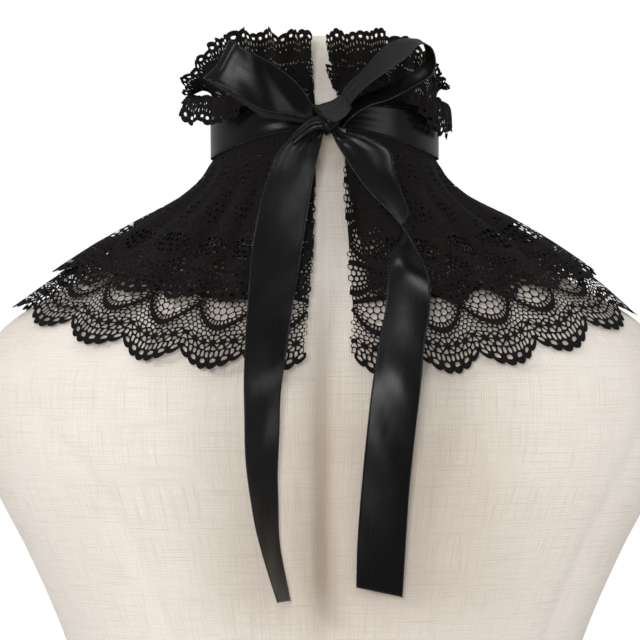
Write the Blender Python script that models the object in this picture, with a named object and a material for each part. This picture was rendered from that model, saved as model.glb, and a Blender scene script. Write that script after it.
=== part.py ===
# Lace collar on a limbless dress form, seen from behind along +Y.
# The origin is the centre of the form's flat base, +Z is up and -Y is the wearer's back.
# +X is the right of the view.
# Sizes and tables are in millimetres, and MM turns them into metres.

import math
from collections import namedtuple

import bmesh
import bpy
import numpy as np

MM = 0.001

# Cloth
CLOTH = 1.0                 # wall of the lace and of the ribbon
SEAM = 0.3                  # gap between pieces that touch
LACE_STEP = CLOTH + SEAM    # from the middle of one layer to the middle of the next

# Neck
NECK_RADIUS = 58.5          # form, under the ribbon
RIBBON_WIDTH = 25.0
RIBBON_CENTRE = 666.0       # height of the ribbon's middle at the sides of the neck
PINCH_TOP = RIBBON_CENTRE + 0.5 * RIBBON_WIDTH + 0.5
PINCH_BOTTOM = RIBBON_CENTRE - 0.5 * RIBBON_WIDTH - 0.5
LONG_RADIUS = NECK_RADIUS + SEAM + 0.5 * CLOTH
SHORT_RADIUS = LONG_RADIUS + LACE_STEP
BAND_RADIUS = SHORT_RADIUS + LACE_STEP

# Opening at the centre back: how far each end of the lace stays from the centre line
Opening = namedtuple("Opening", "right left")
RUFFLE_TOP_OPENING = Opening(2.0, 6.2)
NECK_OPENING = Opening(11.0, 5.0)
HEM_OPENING = Opening(15.6, 10.0)

# Lace strips
SCALLOPS = 24
COLUMNS_PER_SCALLOP = 5
COLUMNS = SCALLOPS * COLUMNS_PER_SCALLOP
FOLDS = 18                  # large folds round a tier
GATHERS = 30                # small gathers next to the ribbon
RUFFLE_WAVES = 18
HEM_TILT = 3.5              # the hem hangs this much lower on the right than on the centre line
LENS_CELLS = (1, 3)         # cells of each scallop that hold its two largest meshes
MESH_SIZE = 4.3             # widest mesh of the net
MESH_LIMIT = 0.72           # most of a cell's width or height that its mesh takes
SHOULDER_POWER = 3          # how late the hem climbs on its way to the shoulder
FAN_POWER = 0.6             # how early the gathers fan out on their way down
UPPER_LOFT = 1.6            # how much farther the upper tier stands off the lower one away from the neck
UPPER_LOFT_SHARE = 0.5      # where it has reached that

# Slow waves along the strip, in turns from end to end, that keep two folds from being alike
Drift = namedtuple("Drift", "turns depth start")
FOLD_DRIFT = (Drift(2, 0.30, 0.6), Drift(5, 0.22, 2.0))
FOLD_STRENGTH = Drift(7, 0.22, 1.3)
RUFFLE_TOP_DRIFT = Drift(4, 0.25, 4.8)

FormSection = namedtuple("FormSection", "height side back front")
FORM_SECTIONS = (
    FormSection(0, 162, 114, 118),
    FormSection(70, 155, 110, 115),
    FormSection(140, 137, 101, 107),
    FormSection(195, 122, 91, 98),
    FormSection(235, 116, 85, 93),
    FormSection(275, 116, 83, 93),
    FormSection(330, 123, 87, 103),
    FormSection(391, 140, 93, 114),
    FormSection(440, 161, 95, 118),
    FormSection(475, 179, 94, 116),
    FormSection(505, 190, 90, 110),
    FormSection(530, 191, 85.5, 102),
    FormSection(548, 185, 81, 94.5),
    FormSection(560, 176, 77.5, 89),
    FormSection(569, 165, 74.5, 84.5),
    FormSection(579, 148, 71, 79.5),
    FormSection(590, 128, 67, 74),
    FormSection(602, 105, 63.5, 69),
    FormSection(614, 84, 61, 64.5),
    FormSection(628, 66.5, 59.2, 60.8),
    FormSection(642, 60.3, 58.6, 58.8),
    FormSection(650, NECK_RADIUS, NECK_RADIUS, NECK_RADIUS),
    FormSection(682, NECK_RADIUS, NECK_RADIUS, NECK_RADIUS),
    FormSection(702, 55.5, 54.5, 55),
    FormSection(713, 52.5, 51, 52),
    FormSection(716, 49.5, 48, 49),
)
FORM_COLUMNS = 36

# A tier of lace from the ribbon (share 0) to the long hem (share 1). Each row is a ring through the ridges
# of the folds: half-width and height at the side, depth and height at the back and at the front, and then
# how deep the folds and the small gathers go.
TierSection = namedtuple(
    "TierSection", "share side side_height back back_height front front_height fold gather")
TIER_SECTIONS = (
    TierSection(
        0.00, LONG_RADIUS, PINCH_BOTTOM, LONG_RADIUS, PINCH_BOTTOM, LONG_RADIUS, PINCH_BOTTOM, 0.0, 0.0),
    TierSection(0.08, 65, 643.0, 62.0, 642.5, 62.5, 642.5, 0.9, 0.8),
    TierSection(0.20, 76, 632.0, 65.5, 628.0, 67.5, 627.5, 2.6, 1.5),
    TierSection(0.40, 100, 617.0, 73.5, 604.0, 78.0, 603.0, 4.6, 1.4),
    TierSection(0.60, 124, 603.0, 81.0, 583.0, 88.0, 580.5, 5.4, 0.8),
    TierSection(0.80, 148, 587.5, 87.5, 561.5, 97.5, 557.5, 5.2, 0.3),
    TierSection(1.00, 170, 570.5, 94.0, 538.5, 106.0, 536.0, 4.6, 0.0),
)
TIER_CLEARANCE = 2.2        # from the form to the middle of the lace, once it has left the neck

# A ruffle from the ribbon (share 0) to its top edge (share 1): radius and height where it stands, the waves'
# height, and then where it falls over: how far it draws out and falls, and how far the left lobe swells.
RuffleSection = namedtuple("RuffleSection", "share radius height wave draw fall lobe")
TALL_RUFFLE = (
    RuffleSection(0.00, LONG_RADIUS, PINCH_TOP, 0.0, 0.0, 0.0, 0.0),
    RuffleSection(0.18, 60.6, 687.3, 0.9, 0.0, 0.3, 0.2),
    RuffleSection(0.45, 62.2, 697.8, 2.8, 0.6, 2.0, 1.4),
    RuffleSection(0.75, 64.6, 709.8, 4.8, 1.5, 11.0, 6.0),
    RuffleSection(1.00, 66.6, 720.0, 5.8, 2.8, 27.6, 8.2),
)
LOW_RUFFLE = (
    RuffleSection(0.00, SHORT_RADIUS, PINCH_TOP, 0.0, 0.0, 0.0, 0.0),
    RuffleSection(0.30, 63.2, 687.0, 1.1, 0.0, 4.0, 0.6),
    RuffleSection(0.65, 67.2, 695.5, 2.9, 1.2, 14.0, 5.0),
    RuffleSection(1.00, 71.6, 702.5, 4.6, -2.6, 39.0, 7.8),
)
# How much of that fall and swell each ruffle has, by the angle from the centre back
RuffleTurn = namedtuple("RuffleTurn", "turn tall_left tall_right low_left low_right lobe")
RUFFLE_TURNS = (
    RuffleTurn(0, 0.00, 0.00, 0.00, 0.00, 0.00),
    RuffleTurn(20, 0.00, 0.02, 0.08, 0.06, 0.00),
    RuffleTurn(35, 0.00, 0.12, 0.64, 0.56, 0.00),
    RuffleTurn(50, 0.04, 0.30, 0.88, 0.82, 0.04),
    RuffleTurn(65, 0.30, 0.52, 0.95, 1.00, 0.30),
    RuffleTurn(78, 0.80, 0.75, 0.76, 0.98, 0.75),
    RuffleTurn(90, 1.12, 0.84, 0.52, 0.86, 1.00),
    RuffleTurn(105, 0.65, 0.60, 0.48, 0.66, 0.65),
    RuffleTurn(130, 0.10, 0.15, 0.22, 0.20, 0.10),
    RuffleTurn(180, 0.00, 0.00, 0.00, 0.00, 0.00),
)
RIGHT_SWELL = -0.25         # the right lobe's swell, as a share of the left one's
WAVE_EASE = 0.8             # how much flatter the ruffle's waves are at the sides of the neck
RUFFLE_SCALLOP = 0.11       # depth of the scallops, as a share of the ruffle
NECK_LEAVE_SHARE = 0.12     # where the tier has left the neck

LONG_RUFFLE_ROWS = (1.0, 0.78, 0.54, 0.28)
LONG_TIER_ROWS = (0.10, 0.30, 0.56, 0.78, 0.86, 1.0)
LONG_MESH_ROW = 5           # row of cells with the cut meshes, counted down from the ribbon's upper edge
SHORT_RUFFLE_ROWS = (1.0, 0.76, 0.52, 0.27)
SHORT_TIER_ROWS = (0.15, 0.42, 0.66, 0.79, 1.0)
SHORT_MESH_ROW = 4
LONG_SCALLOP = 0.075        # depth of the hem scallops, as a share of the long tier
SHORT_SCALLOP = 0.095
SHORT_BACK_SHARE = 0.68     # the short tier's length on the centre back, as a share of the long tier
SHORT_SIDE_SHARE = 0.79
SHORT_SETBACK = 0.019       # how far the short tier's right end stays back at its hem, of the strip

# Ribbon pieces: a row for each station, with the two long edges of the ribbon there.
Station = namedtuple("Station", "ax ay az bx by bz")
LEFT_LOOP = (
    Station(-3.6, -67.0, 667.5, -3.6, -68.5, 673.5),
    Station(-14.0, -70.5, 669.0, -12.5, -71.5, 683.0),
    Station(-32.0, -74.5, 672.2, -26.5, -75.5, 693.5),
    Station(-50.0, -77.5, 683.5, -39.0, -78.5, 703.5),
    Station(-59.5, -79.5, 689.0, -46.5, -80.5, 708.5),
    Station(-62.2, -83.0, 690.8, -49.3, -83.5, 710.0),
    Station(-59.5, -86.7, 689.3, -46.8, -86.5, 709.0),
    Station(-50.0, -88.0, 684.5, -39.8, -87.5, 704.5),
    Station(-33.0, -86.0, 674.7, -26.5, -85.5, 697.5),
    Station(-19.0, -81.0, 672.5, -13.0, -80.5, 686.8),
    Station(-8.5, -76.5, 670.5, -6.5, -76.5, 677.5),
    Station(-3.6, -73.0, 668.5, -3.6, -73.0, 673.5),
)
RIGHT_LOOP = (
    Station(9.0, -73.0, 671.5, 9.0, -68.0, 674.0),
    Station(13.8, -79.0, 679.0, 9.0, -68.3, 683.5),
    Station(27.3, -87.0, 690.5, 19.5, -69.5, 696.0),
    Station(41.5, -91.0, 700.5, 33.5, -70.5, 709.2),
    Station(50.0, -92.0, 708.0, 43.5, -71.0, 712.5),
    Station(54.6, -91.5, 706.2, 50.0, -71.0, 711.8),
    Station(56.6, -91.0, 699.0, 52.8, -70.5, 705.0),
    Station(55.0, -90.5, 692.5, 50.5, -70.0, 698.5),
    Station(49.5, -89.5, 688.0, 43.0, -69.5, 693.5),
    Station(34.5, -85.5, 680.0, 28.0, -68.5, 686.5),
    Station(20.5, -80.0, 675.5, 16.0, -67.5, 680.0),
    Station(12.5, -75.5, 670.0, 10.5, -67.3, 673.5),
    Station(9.0, -72.5, 665.5, 9.0, -67.5, 668.0),
)
LEFT_TAIL = (
    Station(-6.0, -72.5, 663.6, -0.8, -73.0, 662.2),
    Station(-14.3, -74.0, 662.0, -1.8, -74.5, 657.8),
    Station(-23.1, -75.0, 654.2, -3.4, -76.0, 651.1),
    Station(-28.3, -76.5, 642.8, -6.0, -77.5, 640.2),
    Station(-32.3, -79.0, 629.5, -8.0, -79.5, 628.0),
    Station(-37.4, -85.5, 602.9, -12.1, -84.0, 601.9),
    Station(-39.2, -96.0, 576.1, -16.1, -92.5, 576.1),
    Station(-40.7, -104.0, 553.0, -19.2, -96.5, 553.0),
    Station(-41.1, -111.0, 535.1, -21.7, -99.5, 535.1),
    Station(-40.6, -115.0, 509.6, -23.3, -99.8, 509.6),
    Station(-38.1, -118.0, 480.0, -24.3, -99.5, 480.0),
    Station(-32.4, -119.5, 450.3, -22.7, -99.0, 450.3),
    Station(-23.8, -120.0, 423.2, -17.6, -98.5, 422.2),
)
RIGHT_TAIL = (
    Station(4.4, -73.0, 661.6, 8.8, -72.5, 664.1),
    Station(6.0, -75.0, 657.8, 19.5, -74.5, 661.5),
    Station(8.1, -76.0, 654.2, 33.0, -75.0, 654.2),
    Station(13.7, -78.0, 645.1, 36.0, -76.0, 642.5),
    Station(22.5, -83.0, 633.0, 39.6, -77.0, 632.0),
    Station(32.5, -91.0, 622.5, 43.0, -78.5, 621.5),
    Station(40.5, -97.0, 612.5, 39.5, -80.5, 612.5),
    Station(46.5, -97.0, 602.9, 35.2, -84.5, 602.9),
    Station(52.7, -94.0, 589.0, 32.6, -89.5, 589.0),
    Station(54.1, -94.5, 576.0, 31.5, -93.0, 574.5),
    Station(50.9, -98.0, 552.0, 27.4, -97.5, 552.0),
    Station(49.3, -101.0, 535.1, 24.8, -101.0, 536.2),
    Station(45.8, -102.0, 505.5, 21.2, -102.0, 505.5),
    Station(43.2, -101.5, 480.0, 18.7, -101.5, 478.9),
    Station(41.2, -100.5, 450.2, 16.6, -101.0, 450.2),
    Station(39.7, -99.0, 424.1, 16.1, -100.0, 429.2),
)
KNOT_CENTRE = (2.4, -70.0, 669.0)
KNOT_HALF = (5.6, 7.3, 7.0)
KNOT_SQUARENESS = 0.85      # 1 is a ball, less is squarer
BAND_END = math.radians(0.8)
BAND_COLUMNS = 61
BAND_RISE = 13.0            # of the band's lower edge, from the sides to the knot
BAND_RISE_POWER = 2.2

LINEN = ((0.80, 0.75, 0.68), 0.9)
BLACK_LACE = ((0.02, 0.018, 0.018), 0.8)
BLACK_SATIN = ((0.03, 0.03, 0.032), 0.35)


def clear_scene():
    for thing in list(bpy.data.objects):
        bpy.data.objects.remove(thing, do_unlink=True)


def smooth_read(keys, values, at):
    # Monotone cubic through the rows of a table, so that it never overshoots a row.
    keys = np.array(keys, dtype=float)
    values = np.array(values, dtype=float)
    at = np.clip(np.asarray(at, dtype=float), keys[0], keys[-1])
    steps = np.diff(keys)
    slopes = np.diff(values) / steps
    tangents = np.zeros(len(keys))
    tangents[0], tangents[-1] = slopes[0], slopes[-1]
    for row in range(1, len(keys) - 1):
        before, after = slopes[row - 1], slopes[row]
        if before * after > 0:
            tangents[row] = 2.0 / (1.0 / before + 1.0 / after)
    row = np.clip(np.searchsorted(keys, at, side="right") - 1, 0, len(steps) - 1)
    part = (at - keys[row]) / steps[row]
    start, end = values[row], values[row + 1]
    leave, arrive = tangents[row] * steps[row], tangents[row + 1] * steps[row]
    square, cube = part ** 2, part ** 3
    return (start * (2 * cube - 3 * square + 1) + leave * (cube - 2 * square + part)
            + end * (3 * square - 2 * cube) + arrive * (cube - square))


def read_section(table, at):
    # The first column of a table is its key. Returns a row of the same kind, read between the table's rows.
    kind = type(table[0])
    keys = [section[0] for section in table]
    columns = [smooth_read(keys, [section[n] for section in table], at) for n in range(1, len(kind._fields))]
    return kind(at, *columns)


def form_level(points):
    # Below 0 inside the form, above 0 outside it.
    section = read_section(FORM_SECTIONS, points[..., 2])
    depth = np.where(points[..., 1] < 0, section.back, section.front)
    return np.hypot(points[..., 0] / section.side, points[..., 1] / depth) - 1.0


def rest_on_form(points, clearance):
    # Moves the points that are nearer to the form than the clearance out along the form's own slope.
    probe = 0.4
    points = points.copy()
    for _ in range(3):
        level = form_level(points)
        slope = np.zeros(points.shape)
        for axis in range(3):
            shift = np.zeros(3)
            shift[axis] = probe
            slope[..., axis] = (form_level(points + shift) - form_level(points - shift)) / (2 * probe)
        steepness = np.maximum(np.linalg.norm(slope, axis=-1), 1e-6)
        lack = np.maximum(clearance - level / steepness, 0.0)
        points += slope / steepness[..., None] * lack[..., None]
    return points


def grid_normals(grid):
    down = np.gradient(grid, axis=0)
    across = np.gradient(grid, axis=1)
    normal = np.cross(down, across)
    return normal / np.linalg.norm(normal, axis=-1, keepdims=True)


def end_angles(opening, radius):
    # Where the lace starts, right of the centre back, and where it ends, left of it.
    return math.asin(opening.right / radius), 2 * math.pi - math.asin(opening.left / radius)


def hem_angles(across):
    # Angles that share the long hem's ring out in equal lengths.
    hem = TIER_SECTIONS[-1]
    start, end = end_angles(HEM_OPENING, hem.side)
    angle = np.linspace(start, end, 721)
    depth = np.where(np.cos(angle) > 0, hem.back, hem.front)
    speed = np.hypot(hem.side * np.cos(angle), depth * np.sin(angle))
    length = np.concatenate(([0.0], np.cumsum(0.5 * (speed[1:] + speed[:-1]))))
    return np.interp(across, length / length[-1], angle)


def neck_angles(across):
    start, end = end_angles(NECK_OPENING, LONG_RADIUS)
    return start + across * (end - start)


def ruffle_angles(across, share):
    start, end = end_angles(RUFFLE_TOP_OPENING, LONG_RADIUS)
    return neck_angles(across) * (1 - share) + (start + across * (end - start)) * share


def drift(wave, turned):
    return wave.depth * np.sin(2 * math.pi * wave.turns * turned + wave.start)


def fold_drift(across):
    return sum(drift(wave, across) for wave in FOLD_DRIFT)


def fold_valley(across):
    # 0 on a fold's ridge and up to 1 in its valley.
    strength = 1.0 - FOLD_STRENGTH.depth + drift(FOLD_STRENGTH, across)
    return strength * (0.5 - 0.5 * np.cos(2 * math.pi * (FOLDS * across + fold_drift(across))))


def gather_valley(across):
    return 0.5 - 0.5 * np.cos(2 * math.pi * GATHERS * across)


def ruffle_wave(across):
    return np.sin(2 * math.pi * (RUFFLE_WAVES * across + fold_drift(across)))


def scallop(across):
    # 0 in the valley between two scallops and 1 on the round of a scallop.
    return np.abs(np.sin(math.pi * SCALLOPS * across))


def scalloped(across, share, depth, power=4):
    # Takes the scallops' valleys off the rows next to the edge at share 1.
    return share * (1.0 - depth * (1.0 - scallop(across)) * share ** power)


def tier_points(across, share):
    section = read_section(TIER_SECTIONS, share)
    ease = share ** FAN_POWER
    angle = neck_angles(across) * (1 - ease) + hem_angles(across) * ease
    behind = np.cos(angle) > 0
    depth = np.where(behind, section.back, section.front)
    middle_height = np.where(behind, section.back_height, section.front_height)
    sideways = np.abs(np.sin(angle)) ** SHOULDER_POWER
    height = middle_height + (section.side_height - middle_height) * sideways
    height = height - HEM_TILT * np.sin(angle) * share ** 3
    ridge = np.stack((section.side * np.sin(angle), -depth * np.cos(angle), height), axis=-1)
    sink = section.fold * fold_valley(across) + section.gather * gather_valley(across)
    folded = ridge - grid_normals(ridge) * sink[..., None]
    at_neck = SEAM + 0.5 * CLOTH
    left_neck = np.minimum(share / NECK_LEAVE_SHARE, 1.0)
    return rest_on_form(folded, at_neck + (TIER_CLEARANCE - at_neck) * left_neck)


def ruffle_points(table, across, share):
    section = read_section(table, share)
    angle = ruffle_angles(across, share)
    on_left = np.sin(angle) < 0
    turned = read_section(RUFFLE_TURNS, np.degrees(np.arccos(np.cos(angle))))
    if table is TALL_RUFFLE:
        fallen = np.where(on_left, turned.tall_left, turned.tall_right)
    else:
        fallen = np.where(on_left, turned.low_left, turned.low_right)
    ease = WAVE_EASE * np.maximum(np.sin(angle) ** 2, fallen)
    wave = section.wave * (1.0 - np.minimum(ease, 1.0)) * ruffle_wave(across)
    swell = section.lobe * turned.lobe * np.where(on_left, 1.0, RIGHT_SWELL)
    radius = section.radius + wave + section.draw * fallen + swell
    height = section.height - section.fall * fallen + section.wave * drift(RUFFLE_TOP_DRIFT, across)
    return np.stack((radius * np.sin(angle), -radius * np.cos(angle), height), axis=-1)


def strip_grid(rows):
    across = np.linspace(0.0, 1.0, COLUMNS + 1)
    return np.meshgrid(across, np.array(rows, dtype=float))


def ruffle_grid(table, rows):
    across, share = strip_grid(rows)
    return ruffle_points(table, across, scalloped(across, share, RUFFLE_SCALLOP))


def long_strip_middle():
    ruffle = ruffle_grid(TALL_RUFFLE, LONG_RUFFLE_ROWS + (0.0,))
    across, share = strip_grid((0.0,) + LONG_TIER_ROWS)
    return np.concatenate((ruffle, tier_points(across, scalloped(across, share, LONG_SCALLOP))))


def short_strip_middle():
    # The upper tier lies on the lower one: it is made of that tier's points, moved out.
    ruffle = ruffle_grid(LOW_RUFFLE, SHORT_RUFFLE_ROWS + (0.0,))
    along, share = strip_grid((0.0,) + SHORT_TIER_ROWS)
    across = along + SHORT_SETBACK * share * (1.0 - along)
    sideways = np.sin(hem_angles(across)) ** 2
    reach = SHORT_BACK_SHARE + (SHORT_SIDE_SHARE - SHORT_BACK_SHARE) * sideways
    share = reach * scalloped(along, share, SHORT_SCALLOP)
    below = tier_points(across, share)
    lift = LACE_STEP + UPPER_LOFT * np.minimum(share / UPPER_LOFT_SHARE, 1.0)
    tier = below + grid_normals(below) * lift[..., None]
    tier[0] = below[0] * (SHORT_RADIUS / LONG_RADIUS, SHORT_RADIUS / LONG_RADIUS, 1.0)
    return np.concatenate((ruffle, tier))


def material(name, look):
    colour, roughness = look
    made = bpy.data.materials.new(name)
    made.use_nodes = True
    shader = made.node_tree.nodes["Principled BSDF"]
    shader.inputs["Base Color"].default_value = (*colour, 1.0)
    shader.inputs["Roughness"].default_value = roughness
    shader.inputs["Metallic"].default_value = 0.0
    return made


def add_object(name, points, faces, look):
    mesh = bpy.data.meshes.new(name)
    mesh.from_pydata([tuple(float(value) * MM for value in point) for point in points], [], faces)
    mesh.validate()
    mesh.shade_smooth()
    mesh.set_sharp_from_angle(angle=math.radians(50))
    made = bpy.data.objects.new(name, mesh)
    made.data.materials.append(material(name, look))
    bpy.context.scene.collection.objects.link(made)
    return made


def cell_corners(row, column, width):
    start = row * width + column
    return start, start + width, start + width + 1, start + 1


def wall(name, middle, look, holes=(), upright_rows=()):
    # A closed wall round a grid of points, half of the cloth to each side, with a mesh cut through each
    # cell that holes names. The rows under the ribbon stay upright.
    rows, width = middle.shape[:2]
    normals = grid_normals(middle)
    for row in upright_rows:
        level = middle[row] * (1.0, 1.0, 0.0)
        normals[row] = level / np.linalg.norm(level, axis=-1, keepdims=True)
    outer = list((middle + normals * 0.5 * CLOTH).reshape(-1, 3))
    inner = list((middle - normals * 0.5 * CLOTH).reshape(-1, 3))
    quads = []
    for row in range(rows - 1):
        for column in range(width - 1):
            corners = cell_corners(row, column, width)
            if (row, column) not in holes:
                quads.append(corners)
                continue
            first = len(outer)
            for side in (outer, inner):
                side.extend(mesh_corners([side[n] for n in corners]))
            for n in range(4):
                after = (n + 1) % 4
                quads.append((corners[n], corners[after], first + after, first + n))
    # Both faces of the wall are cut along the same diagonals, so that they never cross.
    sheet = [triangle for a, b, c, d in quads for triangle in ((a, b, c), (a, c, d))]
    count = len(outer)
    faces = sheet + [tuple(count + n for n in reversed(face)) for face in sheet]
    directed = {(face[n], face[(n + 1) % 3]) for face in sheet for n in range(3)}
    faces += [(b, a, count + a, count + b) for a, b in sorted(directed) if (b, a) not in directed]
    return add_object(name, outer + inner, faces, look)


def mesh_corners(corners):
    # The four corners of a mesh in the middle of a cell, as wide as the net's widest meshes.
    top_left, bottom_left, bottom_right, top_right = corners
    width = np.linalg.norm(0.5 * (top_right + bottom_right - top_left - bottom_left))
    height = np.linalg.norm(0.5 * (bottom_left + bottom_right - top_left - top_right))
    wide = min(MESH_SIZE / width, MESH_LIMIT)
    tall = min(MESH_SIZE / height, MESH_LIMIT)

    def inside(down, along):
        left = top_left * (1 - down) + bottom_left * down
        right = top_right * (1 - down) + bottom_right * down
        return left * (1 - along) + right * along

    low, high = 0.5 - 0.5 * tall, 0.5 + 0.5 * tall
    near, far = 0.5 - 0.5 * wide, 0.5 + 0.5 * wide
    return [inside(low, near), inside(high, near), inside(high, far), inside(low, far)]


def lens_holes(row):
    return {(row, number * COLUMNS_PER_SCALLOP + cell) for number in range(SCALLOPS) for cell in LENS_CELLS}


def dress_form():
    heights = [section.height for section in FORM_SECTIONS]
    angle = np.linspace(0.0, 2 * math.pi, FORM_COLUMNS, endpoint=False)
    points, faces = [], []
    for height in heights:
        section = read_section(FORM_SECTIONS, height)
        depth = np.where(np.cos(angle) > 0, section.back, section.front)
        points += list(zip(section.side * np.sin(angle), -depth * np.cos(angle), [height] * FORM_COLUMNS))
    for row in range(len(heights) - 1):
        for column in range(FORM_COLUMNS):
            after = (column + 1) % FORM_COLUMNS
            low, high = row * FORM_COLUMNS, (row + 1) * FORM_COLUMNS
            faces.append((low + column, low + after, high + after, high + column))
    faces.append(tuple(reversed(range(FORM_COLUMNS))))
    top = (len(heights) - 1) * FORM_COLUMNS
    faces.append(tuple(range(top, top + FORM_COLUMNS)))
    return add_object("dress_form", points, faces, LINEN)


def neck_ribbon():
    # The band's lower edge rises toward the knot at the centre back, where its two ends meet.
    angle = np.linspace(BAND_END, 2 * math.pi - BAND_END, BAND_COLUMNS)
    to_knot = np.maximum(np.cos(angle), 0.0) ** BAND_RISE_POWER
    low = RIBBON_CENTRE - 0.5 * RIBBON_WIDTH + BAND_RISE * to_knot
    high = RIBBON_CENTRE + 0.5 * RIBBON_WIDTH
    rows = []
    for share in (1.0, 0.0):
        height = low + (high - low) * share
        rows.append(np.stack((BAND_RADIUS * np.sin(angle), -BAND_RADIUS * np.cos(angle), height), axis=-1))
    return wall("neck_ribbon", np.array(rows), BLACK_SATIN)


def ribbon_piece(name, stations, steps, curl):
    # A ribbon through its stations, with its middle line raised by the curl.
    edges = np.array(stations, dtype=float).reshape(len(stations), 2, 3)
    middle = edges.mean(axis=1)
    reach = np.concatenate(([0.0], np.cumsum(np.linalg.norm(np.diff(middle, axis=0), axis=1))))
    at = np.linspace(0.0, reach[-1], steps)
    first, second = [np.stack([curve_read(reach, edges[:, side, axis], at) for axis in range(3)], axis=-1)
                     for side in range(2)]
    centre = 0.5 * (first + second)
    grid = np.stack((first, centre, second))
    ends = np.sin(np.linspace(0.0, math.pi, steps)) ** 0.5
    grid[1] += grid_normals(grid)[1] * curl * ends[:, None]
    return wall(name, grid, BLACK_SATIN)


def curve_read(keys, values, at):
    # Smooth curve through values, with each slope taken from the stations on both sides.
    slopes = np.gradient(values, keys)
    row = np.clip(np.searchsorted(keys, at, side="right") - 1, 0, len(keys) - 2)
    step = keys[row + 1] - keys[row]
    part = (at - keys[row]) / step
    square, cube = part ** 2, part ** 3
    return (values[row] * (2 * cube - 3 * square + 1) + slopes[row] * step * (cube - 2 * square + part)
            + values[row + 1] * (3 * square - 2 * cube) + slopes[row + 1] * step * (cube - square))


def bow_knot():
    # A wrapped lump of ribbon, squarer than a ball.
    mesh = bmesh.new()
    bmesh.ops.create_uvsphere(mesh, u_segments=16, v_segments=10, radius=1.0)
    points = []
    for vertex in mesh.verts:
        squarer = [math.copysign(abs(value) ** KNOT_SQUARENESS, value) for value in vertex.co]
        points.append([centre + half * value for centre, half, value in zip(KNOT_CENTRE, KNOT_HALF, squarer)])
    faces = [[vertex.index for vertex in face.verts] for face in mesh.faces]
    mesh.free()
    return add_object("bow_knot", points, faces, BLACK_SATIN)


def main():
    clear_scene()
    dress_form()
    long_neck = len(LONG_RUFFLE_ROWS)
    short_neck = len(SHORT_RUFFLE_ROWS)
    wall("lace_strip_long", long_strip_middle(), BLACK_LACE, lens_holes(long_neck + LONG_MESH_ROW),
         (long_neck, long_neck + 1))
    wall("lace_strip_short", short_strip_middle(), BLACK_LACE, lens_holes(short_neck + SHORT_MESH_ROW),
         (short_neck, short_neck + 1))
    neck_ribbon()
    bow_knot()
    ribbon_piece("bow_loop_left", LEFT_LOOP, 32, 1.0)
    ribbon_piece("bow_loop_right", RIGHT_LOOP, 36, 0.8)
    ribbon_piece("ribbon_tail_left", LEFT_TAIL, 26, 0.8)
    ribbon_piece("ribbon_tail_right", RIGHT_TAIL, 30, 0.8)


main()
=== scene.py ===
import math
from collections import namedtuple

import bpy
import numpy as np
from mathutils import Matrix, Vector
from mathutils.geometry import delaunay_2d_cdt


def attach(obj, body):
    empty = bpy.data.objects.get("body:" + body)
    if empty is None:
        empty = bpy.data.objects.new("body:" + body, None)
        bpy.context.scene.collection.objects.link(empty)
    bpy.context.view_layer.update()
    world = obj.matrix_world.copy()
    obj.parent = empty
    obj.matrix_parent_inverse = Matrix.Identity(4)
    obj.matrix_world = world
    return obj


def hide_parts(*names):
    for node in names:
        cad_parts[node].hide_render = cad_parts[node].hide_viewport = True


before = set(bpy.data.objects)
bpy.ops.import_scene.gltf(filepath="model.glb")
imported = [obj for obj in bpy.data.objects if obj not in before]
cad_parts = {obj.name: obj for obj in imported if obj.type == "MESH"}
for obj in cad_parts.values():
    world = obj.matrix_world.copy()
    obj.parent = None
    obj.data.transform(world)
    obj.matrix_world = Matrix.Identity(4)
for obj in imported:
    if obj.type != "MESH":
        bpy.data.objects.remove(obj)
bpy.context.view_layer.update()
print("frame loaded:", sorted(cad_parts))

mm = 0.001
scene = bpy.context.scene

# Camera first, at the photograph's height and distance
view = {"place": (-0.00245, -1.6, 0.5658), "mmPerPixel": 0.545, "pixels": 640, "sensor": 36.0,
        "farthest": 30}
cameraData = bpy.data.cameras.new("camera")
cameraData.sensor_width = view["sensor"]
cameraData.lens = view["sensor"] * -view["place"][1] / (view["mmPerPixel"] * mm * view["pixels"])
cameraData.clip_end = view["farthest"]
camera = bpy.data.objects.new("camera", cameraData)
camera.location = view["place"]
camera.rotation_euler = (math.radians(90), 0, 0)
scene.collection.objects.link(camera)
scene.camera = camera

# Soft light from both sides and above; the room behind the camera is dark, as the satin shows
studio = {
    "sky": 0.56, "behind": 0.06, "behindWidth": 1.6, "behindRise": 1.25, "backdrop": 1.0, "aim": (0, 0, 0.55),
    "lamps": {
        "key": {"place": (-1.5, -1.25, 1.3), "size": 0.5, "watts": 11.5},
        "fill": {"place": (1.65, -1.1, 0.8), "size": 0.8, "watts": 8},
        "top": {"place": (0.0, -0.9, 2.3), "size": 1.2, "watts": 3.5},
        "window": {"place": (-0.3, -2.3, 0.9), "size": 0.62, "watts": 22},
    },
}
scene.view_settings.view_transform = "Standard"


def linkAll(tree, pairs):
    for a, b in pairs:
        tree.links.new(a, b)


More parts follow.
